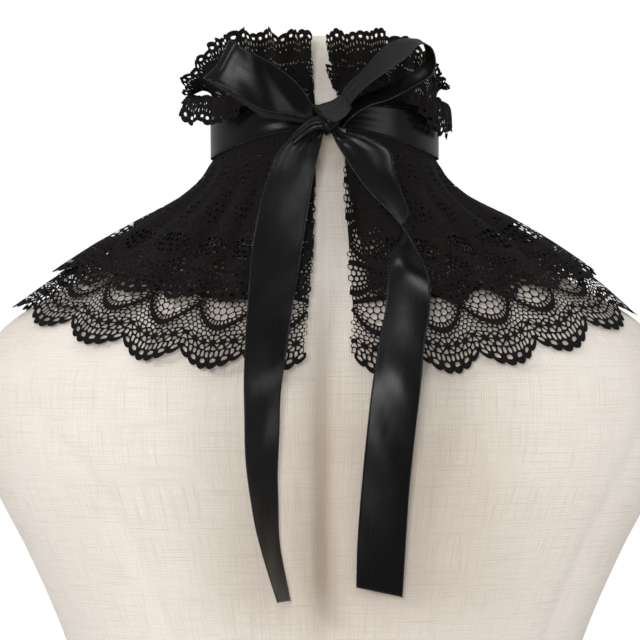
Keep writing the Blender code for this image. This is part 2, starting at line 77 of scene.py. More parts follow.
def buildWorld():
    # even to the sides and above, dark low behind the camera, white where the camera sees it
    world = bpy.data.worlds.new("studio")
    world.use_nodes = True
    nodes = world.node_tree.nodes
    sky = nodes["Background"]
    sky.inputs["Color"].default_value = (1, 1, 1, 1)
    seen, way, parts, dark, shown = [nodes.new("ShaderNode" + kind) for kind in
                                     ("LightPath", "TexCoord", "SeparateXYZ", "Math", "Mix")]
    behind, high, level = [nodes.new("ShaderNodeMapRange") for _ in range(3)]
    behind.inputs["From Max"].default_value = -1.0 / studio["behindWidth"]
    high.inputs["From Max"].default_value = 1.0 / studio["behindRise"]
    high.inputs["To Min"].default_value, high.inputs["To Max"].default_value = 1.0, 0.0
    dark.operation = "MULTIPLY"
    level.inputs["To Min"].default_value = studio["sky"]
    level.inputs["To Max"].default_value = studio["behind"]
    shown.inputs["B"].default_value = studio["backdrop"]
    linkAll(world.node_tree, (
        (way.outputs["Generated"], parts.inputs[0]), (parts.outputs["Y"], behind.inputs["Value"]),
        (parts.outputs["Z"], high.inputs["Value"]), (behind.outputs["Result"], dark.inputs[0]),
        (high.outputs["Result"], dark.inputs[1]), (dark.outputs[0], level.inputs["Value"]),
        (seen.outputs["Is Camera Ray"], shown.inputs["Factor"]), (level.outputs["Result"], shown.inputs["A"]),
        (shown.outputs["Result"], sky.inputs["Strength"])))
    scene.world = world


buildWorld()
for name, s in studio["lamps"].items():
    lamp = bpy.data.objects.new(name, bpy.data.lights.new(name, "AREA"))
    lamp.data.size = s["size"]
    lamp.data.energy = s["watts"]
    lamp.location = s["place"]
    lamp.rotation_euler = (Vector(studio["aim"]) - Vector(s["place"])).to_track_quat("-Z", "Y").to_euler()
    scene.collection.objects.link(lamp)


# Tables, grids and meshes
def hermite(keys, values, slopes, at):
    # the smooth curve through the rows of a table that has these slopes at its rows
    row = np.clip(np.searchsorted(keys, at, side="right") - 1, 0, len(keys) - 2)
    step = keys[row + 1] - keys[row]
    part = (at - keys[row]) / step
    square, cube = part ** 2, part ** 3
    return (values[row] * (2 * cube - 3 * square + 1) + slopes[row] * step * (cube - 2 * square + part)
            + values[row + 1] * (3 * square - 2 * cube) + slopes[row + 1] * step * (cube - square))


def smoothRead(keys, values, at):
    # a monotone curve, so that it never overshoots a row
    keys, values = np.array(keys, float), np.array(values, float)
    at = np.clip(np.asarray(at, float), keys[0], keys[-1])
    slopes = np.diff(values) / np.diff(keys)
    tangents = np.zeros(len(keys))
    tangents[0], tangents[-1] = slopes[0], slopes[-1]
    for row in range(1, len(keys) - 1):
        if slopes[row - 1] * slopes[row] > 0:
            tangents[row] = 2.0 / (1.0 / slopes[row - 1] + 1.0 / slopes[row])
    return hermite(keys, values, tangents, at)


def readTable(table, at):
    kind = type(table[0])
    keys = [row[0] for row in table]
    return kind(at, *[smoothRead(keys, [row[n] for row in table], at) for n in range(1, len(kind._fields))])


def gridNormals(grid):
    normal = np.cross(np.gradient(grid, axis=0), np.gradient(grid, axis=1))
    return normal / np.maximum(np.linalg.norm(normal, axis=-1, keepdims=True), 1e-9)


def makeMesh(name, points, faces, uvs=None, materials=(), faceMaterials=None):
    # points in mm, uvs one pair for each point
    mesh = bpy.data.meshes.new(name)
    mesh.from_pydata((np.asarray(points, float) * mm).tolist(), [], faces)
    for material in materials:
        mesh.materials.append(material)
    if faceMaterials is not None:
        mesh.polygons.foreach_set("material_index", np.array(faceMaterials, dtype=np.int32))
    if uvs is not None:
        layer = mesh.uv_layers.new(name="UVMap")
        corners = np.zeros(len(mesh.loops), dtype=np.int32)
        mesh.loops.foreach_get("vertex_index", corners)
        layer.data.foreach_set("uv", np.asarray(uvs, float)[corners].ravel())
    mesh.shade_smooth()
    made = bpy.data.objects.new(name, mesh)
    scene.collection.objects.link(made)
    return made


def gridFaces(rows, columns, closed=False):
    faces = []
    for row in range(rows - 1):
        for column in range(columns if closed else columns - 1):
            after = (column + 1) % columns
            near, far = row * columns, (row + 1) * columns
            faces.append((near + column, far + column, far + after, near + after))
    return faces


class Shader:
    # short way to build a material's node tree
    def __init__(self, name, s):
        self.material = bpy.data.materials.new(name)
        self.material.use_nodes = True
        self.tree = self.material.node_tree
        self.shader = self.tree.nodes["Principled BSDF"]
        self.shader.inputs["Roughness"].default_value = s["roughness"]
        self.shader.inputs["Specular IOR Level"].default_value = s.get("gloss", 0.5)

    def node(self, kind, inputs=None, **settings):
        made = self.tree.nodes.new(kind)
        for name, value in settings.items():
            setattr(made, name, value)
        for name, value in (inputs or {}).items():
            self.feed(made.inputs[name], value)
        return made

    def feed(self, socket, value):
        if isinstance(value, bpy.types.NodeSocket):
            self.tree.links.new(value, socket)
        else:
            socket.default_value = value

    def math(self, operation, first, second=0.0):
        made = self.node("ShaderNodeMath", operation=operation)
        self.feed(made.inputs[0], first)
        self.feed(made.inputs[1], second)
        return made.outputs[0]

    def ramp(self, value, stops):
        made = self.node("ShaderNodeValToRGB")
        elements = made.color_ramp.elements
        for n, (place, colour) in enumerate(stops):
            element = elements[n] if n < 2 else elements.new(place)
            element.position = place
            element.color = (*colour, 1)
        self.feed(made.inputs["Fac"], value)
        return made.outputs["Color"]

    def paint(self, value, s):
        # the base colour goes from one of the piece's colours to the other
        self.feed(self.shader.inputs["Base Color"], self.ramp(value, [s["from"], s["to"]]))

    def coords(self, scale=(1, 1, 1), kind="UV", turn=0.0):
        source = self.node("ShaderNodeTexCoord")
        place = self.node("ShaderNodeMapping", {"Vector": source.outputs[kind], "Scale": scale})
        place.inputs["Rotation"].default_value = (0, 0, turn)
        return place.outputs["Vector"]

    def noise(self, stretch, detail, roughness=0.5, kind="UV"):
        # the stretch is in waves a millimetre of cloth, or a metre on Object coordinates
        vector = self.coords(stretch, kind)
        return self.node("ShaderNodeTexNoise", {"Vector": vector, "Scale": 1.0, "Detail": detail,
                                                "Roughness": roughness}).outputs["Fac"]

    def bands(self, vector, scale, distortion, detail, direction="X", detailScale=1.0):
        made = self.node("ShaderNodeTexWave", {"Vector": vector, "Scale": scale, "Distortion": distortion,
                                               "Detail": detail, "Detail Scale": detailScale},
                         wave_type="BANDS", bands_direction=direction)
        return made.outputs["Fac"]

    def weighted(self, *shares):
        # the sum of some values, each times its share
        total = None
        for value, share in shares:
            part = self.math("MULTIPLY", value, share)
            total = part if total is None else self.math("ADD", total, part)
        return total

    def bump(self, height, strength, distance):
        last = self.shader.inputs["Normal"].links
        made = self.node("ShaderNodeBump", {"Height": height, "Strength": strength, "Distance": distance})
        if last:
            self.tree.links.new(last[0].from_socket, made.inputs["Normal"])
        self.tree.links.new(made.outputs["Normal"], self.shader.inputs["Normal"])


# Materials. UV maps hold millimetres along the cloth.
def linenMaterial():
    s = {"light": (0.61, (0.86, 0.80, 0.73)), "middle": (0.73, (0.79, 0.725, 0.65)),
         "dark": (0.90, (0.60, 0.53, 0.45)), "hollow": (0.46, 0.38, 0.30), "thread": 0.54, "waver": 2.2,
         "weave": 0.2, "slubs": 0.72, "cloud": 0.18, "fleck": 0.36, "roughness": 0.92, "gloss": 0.25,
         "sheen": 0.12, "sheenRoughness": 0.6, "weaveBump": (0.35, 0.0004), "slubBump": (0.3, 0.0006),
         "threads": (((1, 0.02, 1), "X"), ((0.02, 1, 1), "Y")), "cloudNoise": ((0.012, 0.012, 1), 2.0),
         "slubNoise": (((1.1, 0.035, 1), 5.0, 0.72), ((0.03, 1.0, 1), 5.0, 0.72)),
         "fleckNoise": ((2.6, 1.9, 1), 3.0, 0.6)}
    m = Shader("linenWeave", s)
    warp, weft = [m.bands(m.coords(stretch), 0.2 / s["thread"], s["waver"], 2.0, direction, 0.6)
                  for stretch, direction in s["threads"]]
    weave = m.math("MULTIPLY", warp, weft)
    slubs = m.math("MAXIMUM", *[m.noise(*slub) for slub in s["slubNoise"]])
    mixed = m.weighted((weave, s["weave"]), (slubs, s["slubs"]), (m.noise(*s["cloudNoise"]), s["cloud"]),
                       (m.noise(*s["fleckNoise"]), s["fleck"]))
    colour = m.ramp(mixed, [s["light"], s["dark"], s["middle"]])
    # painted shade: the linen is multiplied toward a dull brown where the form's shade attribute is set,
    # standing in for the shadows down the centre back, round the ribbon ends and under the knot
    hollow = m.node("ShaderNodeAttribute", attribute_name="hollow")
    paintedShadeMix = m.node("ShaderNodeMix", data_type="RGBA", blend_type="MULTIPLY")
    for socket, value in (("Factor", hollow.outputs["Fac"]), ("A", colour), ("B", (*s["hollow"], 1))):
        m.feed(paintedShadeMix.inputs[socket], value)
    m.feed(m.shader.inputs["Base Color"], paintedShadeMix.outputs["Result"])
    m.shader.inputs["Sheen Weight"].default_value = s["sheen"]
    m.shader.inputs["Sheen Roughness"].default_value = s["sheenRoughness"]
    m.bump(weave, *s["weaveBump"])
    m.bump(slubs, *s["slubBump"])
    return m.material


def laceMaterial():
    s = {"from": (0.42, (0.0042, 0.0038, 0.0039)), "to": (0.78, (0.017, 0.0115, 0.0095)), "twist": 1.5,
         "tone": 0.7, "lint": 0.35, "roughness": 0.88, "gloss": 0.16,
         "toneNoise": ((0.35, 0.35, 1), 4.0, 0.6), "lintNoise": ((2.4, 2.4, 1), 2.0),
         "twistBump": (0.5, 0.0003), "lintBump": (0.35, 0.0003)}
    m = Shader("blackLace", s)
    twist = m.bands(m.coords(), s["twist"], 6.0, 3.0, "DIAGONAL", 1.2)
    tone, lint = m.noise(*s["toneNoise"]), m.noise(*s["lintNoise"])
    m.paint(m.weighted((tone, s["tone"]), (lint, s["lint"])), s)
    m.bump(twist, *s["twistBump"])
    m.bump(lint, *s["lintBump"])
    return m.material


def satinFaceMaterial():
    s = {"from": (0.3, (0.0028, 0.0028, 0.0032)), "to": (0.75, (0.006, 0.0056, 0.006)),
         "roughness": 0.23, "roughnessSpread": 0.1, "gloss": 0.14, "warp": 0.6, "soft": 0.4,
         "warpNoise": ((0.05, 3.2, 1), 3.0, 0.6), "weftNoise": ((1.1, 0.05, 1), 2.0),
         "softNoise": ((0.03, 0.08, 1), 2.0),
         "softBump": (0.3, 0.0009), "warpBump": (0.07, 0.0002), "weftBump": (0.06, 0.0003)}
    m = Shader("blackSatinFace", s)
    warp, weft, soft = [m.noise(*s[way + "Noise"]) for way in ("warp", "weft", "soft")]
    m.paint(m.weighted((warp, s["warp"]), (soft, s["soft"])), s)
    m.feed(m.shader.inputs["Roughness"],
           m.math("ADD", m.math("MULTIPLY", warp, s["roughnessSpread"]), s["roughness"]))
    m.bump(soft, *s["softBump"])
    m.bump(warp, *s["warpBump"])
    m.bump(weft, *s["weftBump"])
    return m.material


def satinReverseMaterial():
    s = {"from": (0.1, (0.004, 0.004, 0.0045)), "to": (0.8, (0.028, 0.027, 0.0285)),
         "rib": 0.42, "turns": (0.7, -0.5), "roughness": 0.62, "gloss": 0.3, "twillBump": (0.5, 0.0003)}
    m = Shader("blackSatinReverse", s)
    twill = m.math("MULTIPLY", *[m.bands(m.coords(turn=turn), s["rib"], 0.6, 1.0) for turn in s["turns"]])
    m.paint(twill, s)
    m.bump(twill, *s["twillBump"])
    return m.material


def selvedgeMaterial():
    # painted highlight: the beads' colour is far lighter than the satin's, standing in for the glints on the
    # shiny picot loops
    s = {"from": (0.3, (0.02, 0.0195, 0.021)), "to": (0.75, (0.085, 0.083, 0.088)),
         "grain": 400, "roughness": 0.45, "bump": (0.3, 0.0001)}
    m = Shader("selvedgeYarn", s)
    tone = m.noise((s["grain"],) * 3, 2.0, kind="Object")
    m.paint(tone, s)
    m.bump(tone, *s["bump"])
    return m.material


linen = linenMaterial()
lace = laceMaterial()
satinFace = satinFaceMaterial()
satinBack = satinReverseMaterial()
selvedge = selvedgeMaterial()
print("materials made")

# Dress form
FormRow = namedtuple("FormRow", "height side back front")
formTable = [FormRow(*row) for row in (
    (0, 162, 114, 118), (70, 155, 110, 115), (140, 137, 101, 107), (195, 122, 91, 98), (235, 116, 85, 93),
    (275, 116, 83, 93), (330, 123, 87, 103), (391, 140, 93, 114), (440, 161, 95, 118), (475, 179, 94, 116),
    (505, 190, 90, 110), (530, 191, 85.5, 102), (548, 185, 81, 94.5), (560, 176, 77.5, 89),
    (569, 165, 74.5, 84.5), (579, 148, 71, 79.5), (590, 128, 67, 74), (602, 105, 63.5, 69),
    (614, 84, 61, 64.5), (628, 66.5, 59.2, 60.8), (642, 60.3, 58.6, 58.8), (650, 58.5, 58.5, 58.5),
    (682, 58.5, 58.5, 58.5), (702, 55.5, 54.5, 55), (713, 52.5, 51, 52), (716, 49.5, 48, 49))]


def formLevel(points):
    # below 0 inside the form, above 0 outside it
    row = readTable(formTable, points[..., 2])
    depth = np.where(points[..., 1] < 0, row.back, row.front)
    return np.hypot(points[..., 0] / row.side, points[..., 1] / depth) - 1.0


def restOnForm(points, clearance):
    # pushes out what lies nearer to the form than the clearance
    probe, passes = 0.4, 3
    points = points.copy()
    for _ in range(passes):
        level = formLevel(points)
        slope = np.zeros(points.shape)
        for axis in range(3):
            shift = np.zeros(3)
            shift[axis] = probe
            slope[..., axis] = (formLevel(points + shift) - formLevel(points - shift)) / (2 * probe)
        steepness = np.maximum(np.linalg.norm(slope, axis=-1), 1e-6)
        points += slope / steepness[..., None] * np.maximum(clearance - level / steepness, 0.0)[..., None]
    return points


dressForm = {
    "columns": 240, "rows": 210, "top": 712, "capRows": 6, "crease": 50, "clothRadius": 130,
    "furrow": {"top": 590, "bottom": 330, "middle": -2.0, "width": 11.0, "depth": 8.0, "fullness": 0.8},
    # side, and the rows of height and distance from the middle
    "ridges": ((-1, ((517, 152), (508, 146), (493, 131), (473, 113), (457, 105), (438, 95), (418, 87),
                     (401, 79))),
               (1, ((525, 178), (500, 166.6), (462, 146), (430, 131), (399, 118)))),
    "ridgeWidth": 5.0, "ridgeDepth": 2.0, "ridgeRise": 60, "ridgeOver": 12,
    # how much shade is painted into the linen: down the furrow, broadly round the ribbon ends, and under the
    # knot
    "shade": {"top": 592, "fadeTop": 90, "bottom": 370, "fadeBottom": 60, "narrow": 0.85, "narrowWidth": 10.0,
              "broad": 0.5, "broadMiddle": 18.0, "broadWidth": 78.0},
    "knotShade": {"amount": 0.8, "bottom": 640, "fadeBottom": 16, "top": 680, "fadeTop": 4, "width": 16},
}


def fadeBetween(z, bottom, fadeBottom, top, fadeTop):
    # 0 below the bottom and above the top, 1 well between them
    return np.clip((top - z) / fadeTop, 0, 1) * np.clip((z - bottom) / fadeBottom, 0, 1)


def buildDressForm():
    s = dressForm
    angle = np.linspace(0, 2 * math.pi, s["columns"], endpoint=False)
    heights = np.unique(np.concatenate((np.linspace(0, s["top"], s["rows"]),
                                        np.linspace(s["top"], formTable[-1].height, s["capRows"]))))
    rows = []
    for height in heights:
        row = readTable(formTable, height)
        depth = np.where(np.cos(angle) > 0, row.back, row.front)
        rows.append(np.stack((row.side * np.sin(angle), -depth * np.cos(angle), 0 * angle + height), axis=-1))
    grid = np.array(rows)
    x, z = grid[..., 0], grid[..., 2]
    behind = grid[..., 1] < 0
    f = s["furrow"]
    along = np.clip((z - f["bottom"]) / (f["top"] - f["bottom"]), 0, 1)
    across = (x - f["middle"]) / f["width"]
    sink = f["depth"] * np.sin(math.pi * along) ** f["fullness"] * np.exp(-across ** 2)
    for side, line in s["ridges"]:
        line = sorted(line)
        place = np.interp(z, [p[0] for p in line], [p[1] for p in line])
        fade = fadeBetween(z, line[0][0] - s["ridgeRise"], s["ridgeRise"], line[-1][0] + s["ridgeOver"],
                           2 * s["ridgeOver"])
        across = (x * side - place) / s["ridgeWidth"]
        sink = sink + s["ridgeDepth"] * fade * np.exp(-across ** 2)
    out = grid * (1, 1, 0)
    out = out / np.linalg.norm(out, axis=-1, keepdims=True)
    points = (grid - out * (sink * behind)[..., None]).reshape(-1, 3)
    columns, count = len(angle), len(heights)
    faces = [tuple(reversed(face)) for face in gridFaces(count, columns, True)]
    faces.append(tuple(reversed(range(columns))))
    faces.append(tuple(range((count - 1) * columns, count * columns)))
    uvs = np.stack((angle[None, :] * s["clothRadius"] + 0 * z, z), axis=-1).reshape(-1, 2)
    made = makeMesh("dressFormLinen", points, faces, uvs, [linen])
    made.data.set_sharp_from_angle(angle=math.radians(s["crease"]))
    # painted shade: the furrow's shadow, a broad shadow round the hanging ribbon ends and the shadow under
    # the knot, stored on the linen as a darkening
    d = s["shade"]
    narrow = np.exp(-((x - f["middle"]) / d["narrowWidth"]) ** 2)
    broad = d["broad"] * np.exp(-((x - d["broadMiddle"]) / d["broadWidth"]) ** 4)
    down = fadeBetween(z, d["bottom"], d["fadeBottom"], d["top"], d["fadeTop"])
    shade = down * behind * np.maximum(d["narrow"] * narrow, broad)
    k = s["knotShade"]
    under = k["amount"] * fadeBetween(z, k["bottom"], k["fadeBottom"], k["top"], k["fadeTop"])
    shade = np.maximum(shade, under * behind * np.exp(-(x / k["width"]) ** 2))
    layer = made.data.attributes.new("hollow", "FLOAT", "POINT")
    layer.data.foreach_set("value", shade.astype(np.float32).ravel())
    return made


form = buildDressForm()
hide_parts("dress_form")
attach(form, "root")
print("dress form:", len(form.data.polygons), "faces")

# Lace surfaces: the same folds as the solids have, with finer gathers
clothWall, seamGap, neckRadius = 1.0, 0.3, 58.5
ribbonWidth, ribbonCentre = 25.0, 666.0
pinchTop, pinchBottom = ribbonCentre + 13.0, ribbonCentre - 13.0
longRadius = neckRadius + seamGap + 0.5 * clothWall
shortRadius = longRadius + clothWall + seamGap
bandRadius = shortRadius + clothWall + seamGap

TierRow = namedtuple("TierRow", "share side sideHeight back backHeight front frontHeight fold gather")
tierTable = [TierRow(*row) for row in (
    (0.00, longRadius, pinchBottom, longRadius, pinchBottom, longRadius, pinchBottom, 0.0, 0.0),
    (0.08, 65, 643.0, 62.0, 642.5, 62.5, 642.5, 0.9, 0.8),
    (0.20, 76, 632.0, 65.5, 628.0, 67.5, 627.5, 2.6, 1.5),
    (0.40, 100, 617.0, 73.5, 604.0, 78.0, 603.0, 4.6, 1.4),
    (0.60, 124, 603.0, 81.0, 583.0, 88.0, 580.5, 5.4, 0.8),
    (0.80, 148, 587.5, 87.5, 561.5, 97.5, 557.5, 5.2, 0.3),
    (1.00, 170, 570.5, 94.0, 538.5, 106.0, 536.0, 4.6, 0.0))]
RuffleRow = namedtuple("RuffleRow", "share radius height wave draw fall lobe")
tallRuffle = [RuffleRow(*row) for row in (
    (0.00, longRadius, pinchTop, 0.0, 0.0, 0.0, 0.0), (0.18, 60.6, 687.3, 0.9, 0.0, 0.3, 0.2),
    (0.45, 62.2, 697.8, 2.8, 0.6, 6.0, 2.6), (0.75, 64.6, 709.8, 4.8, 1.5, 18.5, 6.6),
    (1.00, 66.6, 720.0, 5.8, 2.8, 27.6, 8.2))]
lowRuffle = [RuffleRow(*row) for row in (
    (0.00, shortRadius, pinchTop, 0.0, 0.0, 0.0, 0.0), (0.30, 63.2, 687.0, 1.1, 0.0, 4.0, 0.6),
    (0.65, 67.2, 695.5, 2.9, 1.2, 14.0, 5.0), (1.00, 71.6, 702.5, 4.6, -2.6, 39.0, 7.8))]
# how much of that fall and swell each ruffle has, by the angle from the centre back
RuffleTurn = namedtuple("RuffleTurn", "turn tallLeft tallRight lowLeft lowRight lobe")
ruffleTurns = [RuffleTurn(*row) for row in (
    (0, 0, 0, 0, 0, 0), (20, 0, 0.02, 0.08, 0.06, 0), (35, 0, 0.12, 0.64, 0.56, 0),
    (50, 0.06, 0.36, 0.88, 0.82, 0.16), (65, 0.40, 0.64, 0.90, 1.00, 0.90),
    (78, 0.92, 0.84, 0.70, 0.98, 1.18), (90, 1.06, 0.92, 0.46, 0.86, 0.95),
    (105, 0.60, 0.62, 0.42, 0.66, 0.50), (130, 0.10, 0.15, 0.22, 0.20, 0.10), (180, 0, 0, 0, 0, 0))]

drape = {
    # half openings in mm at the centre back, left and right, at the neck, the hem and the ruffles' edge
    "neckOpening": (11.0, 5.0), "hemOpening": (15.6, 10.0), "ruffleTopOpening": (-0.8, 6.2),
    "openingPower": 0.55, "scallops": 24, "folds": 18, "gathers": 30, "ruffleWaves": 18,
    "hemTilt": 3.5, "tiltPower": 3, "shoulderPower": 3, "fanPower": 0.6, "clearance": 2.2, "neckLeave": 0.12,
    "upperLoft": 1.6, "upperLoftShare": 0.5, "joinShare": 0.04, "faceLift": 0.45,
    # count, size and start of slow waves round the neck
    "foldDrift": ((2, 0.30, 0.6), (5, 0.22, 2.0)), "foldStrength": (7, 0.22, 1.3), "topDrift": (4, 0.25, 4.8),
    "ruffleScallop": 0.07, "longScallop": 0.075, "shortScallop": 0.095, "scallopPower": 4,
    "shortBack": 0.68, "shortSide": 0.79, "shortSetback": 0.019,
    # share of the tier, and the lift over the left and the right shoulder
    "shoulderLoft": ((0.08, 0, 0), (0.22, 0.8, 0.9), (0.4, 1.9, 3.0), (0.6, 1.8, 3.0), (0.8, 0.4, 2.6),
                     (1, 0.2, 1.9)),
    "loftPower": 4, "rightSwell": -0.25, "waveEase": 0.8,
    "rim": 0.06, "columns": 1152, "tierRows": 70, "ruffleRows": 30, "margin": 0.006, "hemSteps": 721,
    # gathers: count, how far their pitch wanders, how often, and where that starts
    "fineGathers": (71, 0.5, 9, 1.0), "fineDepth": 0.55, "fineTier": (0.1, 0.75),
    "fineRuffle": (0.15, 0.8), "fineRuffleDepth": 0.35,
    "frill": 1.7, "frillWaves": (43, 0.4, 7, 0.0), "topDrops": 1.3, "dropWaves": (29, 0.6, 4, 0.0),
    "crowd": 0.0018, "crowdWaves": 37, "crowdStart": 0.3,
}


def endAngles(opening, radius):
    return math.asin(opening[0] / radius), 2 * math.pi - math.asin(opening[1] / radius)


def hemAngles(across):
    hem = tierTable[-1]
    start, end = endAngles(drape["hemOpening"], hem.side)
    angle = np.linspace(start, end, drape["hemSteps"])
    depth = np.where(np.cos(angle) > 0, hem.back, hem.front)
    speed = np.hypot(hem.side * np.cos(angle), depth * np.sin(angle))
    length = np.concatenate(([0.0], np.cumsum(0.5 * (speed[1:] + speed[:-1]))))
    inside = np.interp(np.clip(across, 0, 1), length / length[-1], angle)
    return inside + (across - np.clip(across, 0, 1)) * (end - start)


def neckAngles(across):
    start, end = endAngles(drape["neckOpening"], longRadius)
    return start + across * (end - start)


def ruffleAngles(across, share):
    start, end = endAngles(drape["ruffleTopOpening"], longRadius)
    ease = share ** drape["openingPower"]
    return neckAngles(across) * (1 - ease) + (start + across * (end - start)) * ease


def driftOf(wave, across):
    count, size, start = wave
    return size * np.sin(2 * math.pi * count * across + start)


def foldDrift(across):
    return sum(driftOf(wave, across) for wave in drape["foldDrift"])


def valley(turns):
    return 0.5 - 0.5 * np.cos(2 * math.pi * turns)


def foldValley(across):
    strength = 1.0 - drape["foldStrength"][1] + driftOf(drape["foldStrength"], across)
    return strength * valley(drape["folds"] * across + foldDrift(across))


def ruffleWave(across):
    return np.sin(2 * math.pi * (drape["ruffleWaves"] * across + foldDrift(across)))


def wandering(waves, across):
    # turns of a wave whose pitch wanders
    count, wander, often, start = waves
    return count * across + wander * np.sin(2 * math.pi * often * across + start)


def fineGather(across, share, reach):
    # comes in over the first share of the sheet and dies out before the second
    gather = valley(wandering(drape["fineGathers"], across))
    return gather * np.clip(share / reach[0], 0, 1) * np.clip(1 - share / reach[1], 0, 1)


def scalloped(across, share, depth):
    arch = np.abs(np.sin(math.pi * drape["scallops"] * across))
    return share * (1.0 - depth * (1.0 - arch) * share ** drape["scallopPower"])


def tierPoints(across, share):
    s = drape
    row = readTable(tierTable, share)
    ease = share ** s["fanPower"]
    angle = neckAngles(across) * (1 - ease) + hemAngles(across) * ease
    behind = np.cos(angle) > 0
    depth = np.where(behind, row.back, row.front)
    middle = np.where(behind, row.backHeight, row.frontHeight)
    height = middle + (row.sideHeight - middle) * np.abs(np.sin(angle)) ** s["shoulderPower"]
    height = height - s["hemTilt"] * np.sin(angle) * share ** s["tiltPower"]
    shares, onLeft, onRight = zip(*s["shoulderLoft"])
    loft = np.where(np.sin(angle) < 0, np.interp(share, shares, onLeft), np.interp(share, shares, onRight))
    height = height + loft * np.sin(angle) ** s["loftPower"]
    ridge = np.stack((row.side * np.sin(angle), -depth * np.cos(angle), height), axis=-1)
    sink = (row.fold * foldValley(across) + row.gather * valley(s["gathers"] * across)
            + s["fineDepth"] * fineGather(across, share, s["fineTier"]))
    folded = ridge - gridNormals(ridge) * sink[..., None]
    atNeck = seamGap + 0.5 * clothWall
    leave = np.minimum(share / s["neckLeave"], 1.0)
    return restOnForm(folded, atNeck + (s["clearance"] - atNeck) * leave)


def rufflePoints(table, across, share):
    s = drape
    row = readTable(table, share)
    angle = ruffleAngles(across, share)
    left = np.sin(angle) < 0
    turned = readTable(ruffleTurns, np.degrees(np.arccos(np.cos(angle))))
    if table is tallRuffle:
        fallen, start = np.where(left, turned.tallLeft, turned.tallRight), s["crowdStart"]
    else:
        fallen, start = np.where(left, turned.lowLeft, turned.lowRight), 0.0
    ease = s["waveEase"] * np.maximum(np.sin(angle) ** 2, fallen)
    radius = row.radius + row.wave * (1 - np.minimum(ease, 1.0)) * ruffleWave(across) + row.draw * fallen
    radius = radius + row.lobe * turned.lobe * np.where(left, 1.0, s["rightSwell"])
    frill = s["frill"] * np.sin(2 * math.pi * wandering(s["frillWaves"], across))
    radius = radius + s["fineRuffleDepth"] * fineGather(across, share, s["fineRuffle"]) + frill * share ** 2
    drops = s["topDrops"] * np.sin(2 * math.pi * wandering(s["dropWaves"], across))
    height = row.height - row.fall * fallen + row.wave * driftOf(s["topDrift"], across) - drops * share ** 2
    crowd = s["crowd"] * np.sin(2 * math.pi * (s["crowdWaves"] * across + start))
    angle = angle + 2 * math.pi * crowd * share
    return np.stack((radius * np.sin(angle), -radius * np.cos(angle), height), axis=-1)


def sheetGrid(rows):
    across = np.linspace(-drape["margin"], 1 + drape["margin"], drape["columns"] + 1)
    return np.meshgrid(across, np.linspace(0.0, 1.0, rows))


def withRims(points, across, share):
    # one more row past each edge, so that the bumps and the last cells find their place
    rim = drape["rim"]
    first = points[:1] + (points[:1] - points[1:2]) * rim / (share[1] - share[0])[None, :, None]
    last = points[-1:] + (points[-1:] - points[-2:-1]) * rim / (share[-1] - share[-2])[None, :, None]
    return (np.concatenate((first, points, last)), np.concatenate((across[:1], across, across[:1])),
            np.concatenate((share[:1] - rim, share, share[-1:] + rim)))


def drapedSheet(name, points, across, share, evenly=False):
    if evenly:
        # the lace is spread by the length that each column really has
        step = np.linalg.norm(np.diff(points, axis=0), axis=-1)
        run = np.concatenate((np.zeros((1, points.shape[1])), np.cumsum(step, axis=0)))
        share = run / run[-1:]
    points, across, share = withRims(points, across, share)
    rows, columns = across.shape
    made = makeMesh(name, points.reshape(-1, 3), gridFaces(rows, columns))
    layer = made.data.attributes.new("sheetUv", "FLOAT_VECTOR", "POINT")
    layer.data.foreach_set("vector", np.stack((across, share, 0 * share), axis=-1).astype(np.float32).ravel())
    return made


def shortTierPoints(along, share):
    # lies on the long tier, and reaches less far down
    across = along + drape["shortSetback"] * share * (1 - along)
    sideways = np.sin(hemAngles(across)) ** 2
    share = share * (drape["shortBack"] + (drape["shortSide"] - drape["shortBack"]) * sideways)
    below = tierPoints(across, share)
    lift = clothWall + seamGap + drape["faceLift"]
    lift = lift + drape["upperLoft"] * np.minimum(share / drape["upperLoftShare"], 1.0)
    lifted = below + gridNormals(below) * lift[..., None]
    blend = np.clip(share / drape["joinShare"], 0, 1)[..., None]
    upright = below * (shortRadius / longRadius, shortRadius / longRadius, 1.0)
    return lifted * blend + upright * (1 - blend)


# The flat lace: one scallop of seeds whose cells become meshes or solid work
laceUnit = {
    "width": 36.0, "bumps": 6, "bumpDepth": 1.9, "ruffleBump": 1.1, "bumpFullness": 0.7, "bumpPoints": 8,
    "edgeLine": 0.9, "edgeHeart": 1.2, "edgeRow": 0.3, "ovalRow": 4.0, "ovalWidth": 0.6,
    "smallRow": 8.0, "smallPitch": 2.75,
    # the flowers, and what stands between them
    "dotRow": 14.8, "dots": (0.17, 0.5, 0.83), "petals": 8, "petalReach": (3.55, 3.2),
    "between": (0.0, 0.335, 0.665), "betweenRows": ((-2.2, "small"), (0.4, "solid"), (2.9, "small")),
    "swagRow": 24.2, "swagRise": 13.0, "swagThick": 0.9, "netTop": 45.5, "netRows": 4, "archDrop": 4.6,
    "fineAboveDots": 5.6, "nextHeight": 23.5, "nextGap": 3.6, "nextRise": 9.0, "nextThick": 1.5,
    "nextFine": 2.4, "nextFloor": 2.6,
    "jitter": 0.22, "seed": 4, "apartSquared": 1.05, "outPitch": 1.5, "outBelow": -2.2, "outAbove": 1.6,
    "weld": 0.03, "closeFrom": 42.0, "closeOver": 12.0, "ruffleInset": 1.2, "denseOver": 9.0,
    "leastHole": 0.25,
}
# gaps and pitches of the rows under, in and over a swag
swagRows = {
    "power": 2.1, "endThick": 0.5, "solidPitch": 1.5, "underGap": 1.3, "underPitch": 2.5,
    "fineStep": 2.7, "finePitch": 2.9, "fineEnd": 1.2, "overGap": 1.1, "overPitch": 2.2, "overEnd": 1.2,
    "netGap": 2.3, "netStretch": 1.06, "netPitch": 1.9, "netEnd": 0.8, "archGap": 1.2, "archPitch": 2.6,
}
# half of the thread round a mesh of each kind, and if the mesh is rounded
openKinds = {"oval": (0.62, True), "small": (0.56, True), "petal": (0.52, True), "mesh": (0.36, True),
             "fine": (0.42, False), "net": (0.55, False)}


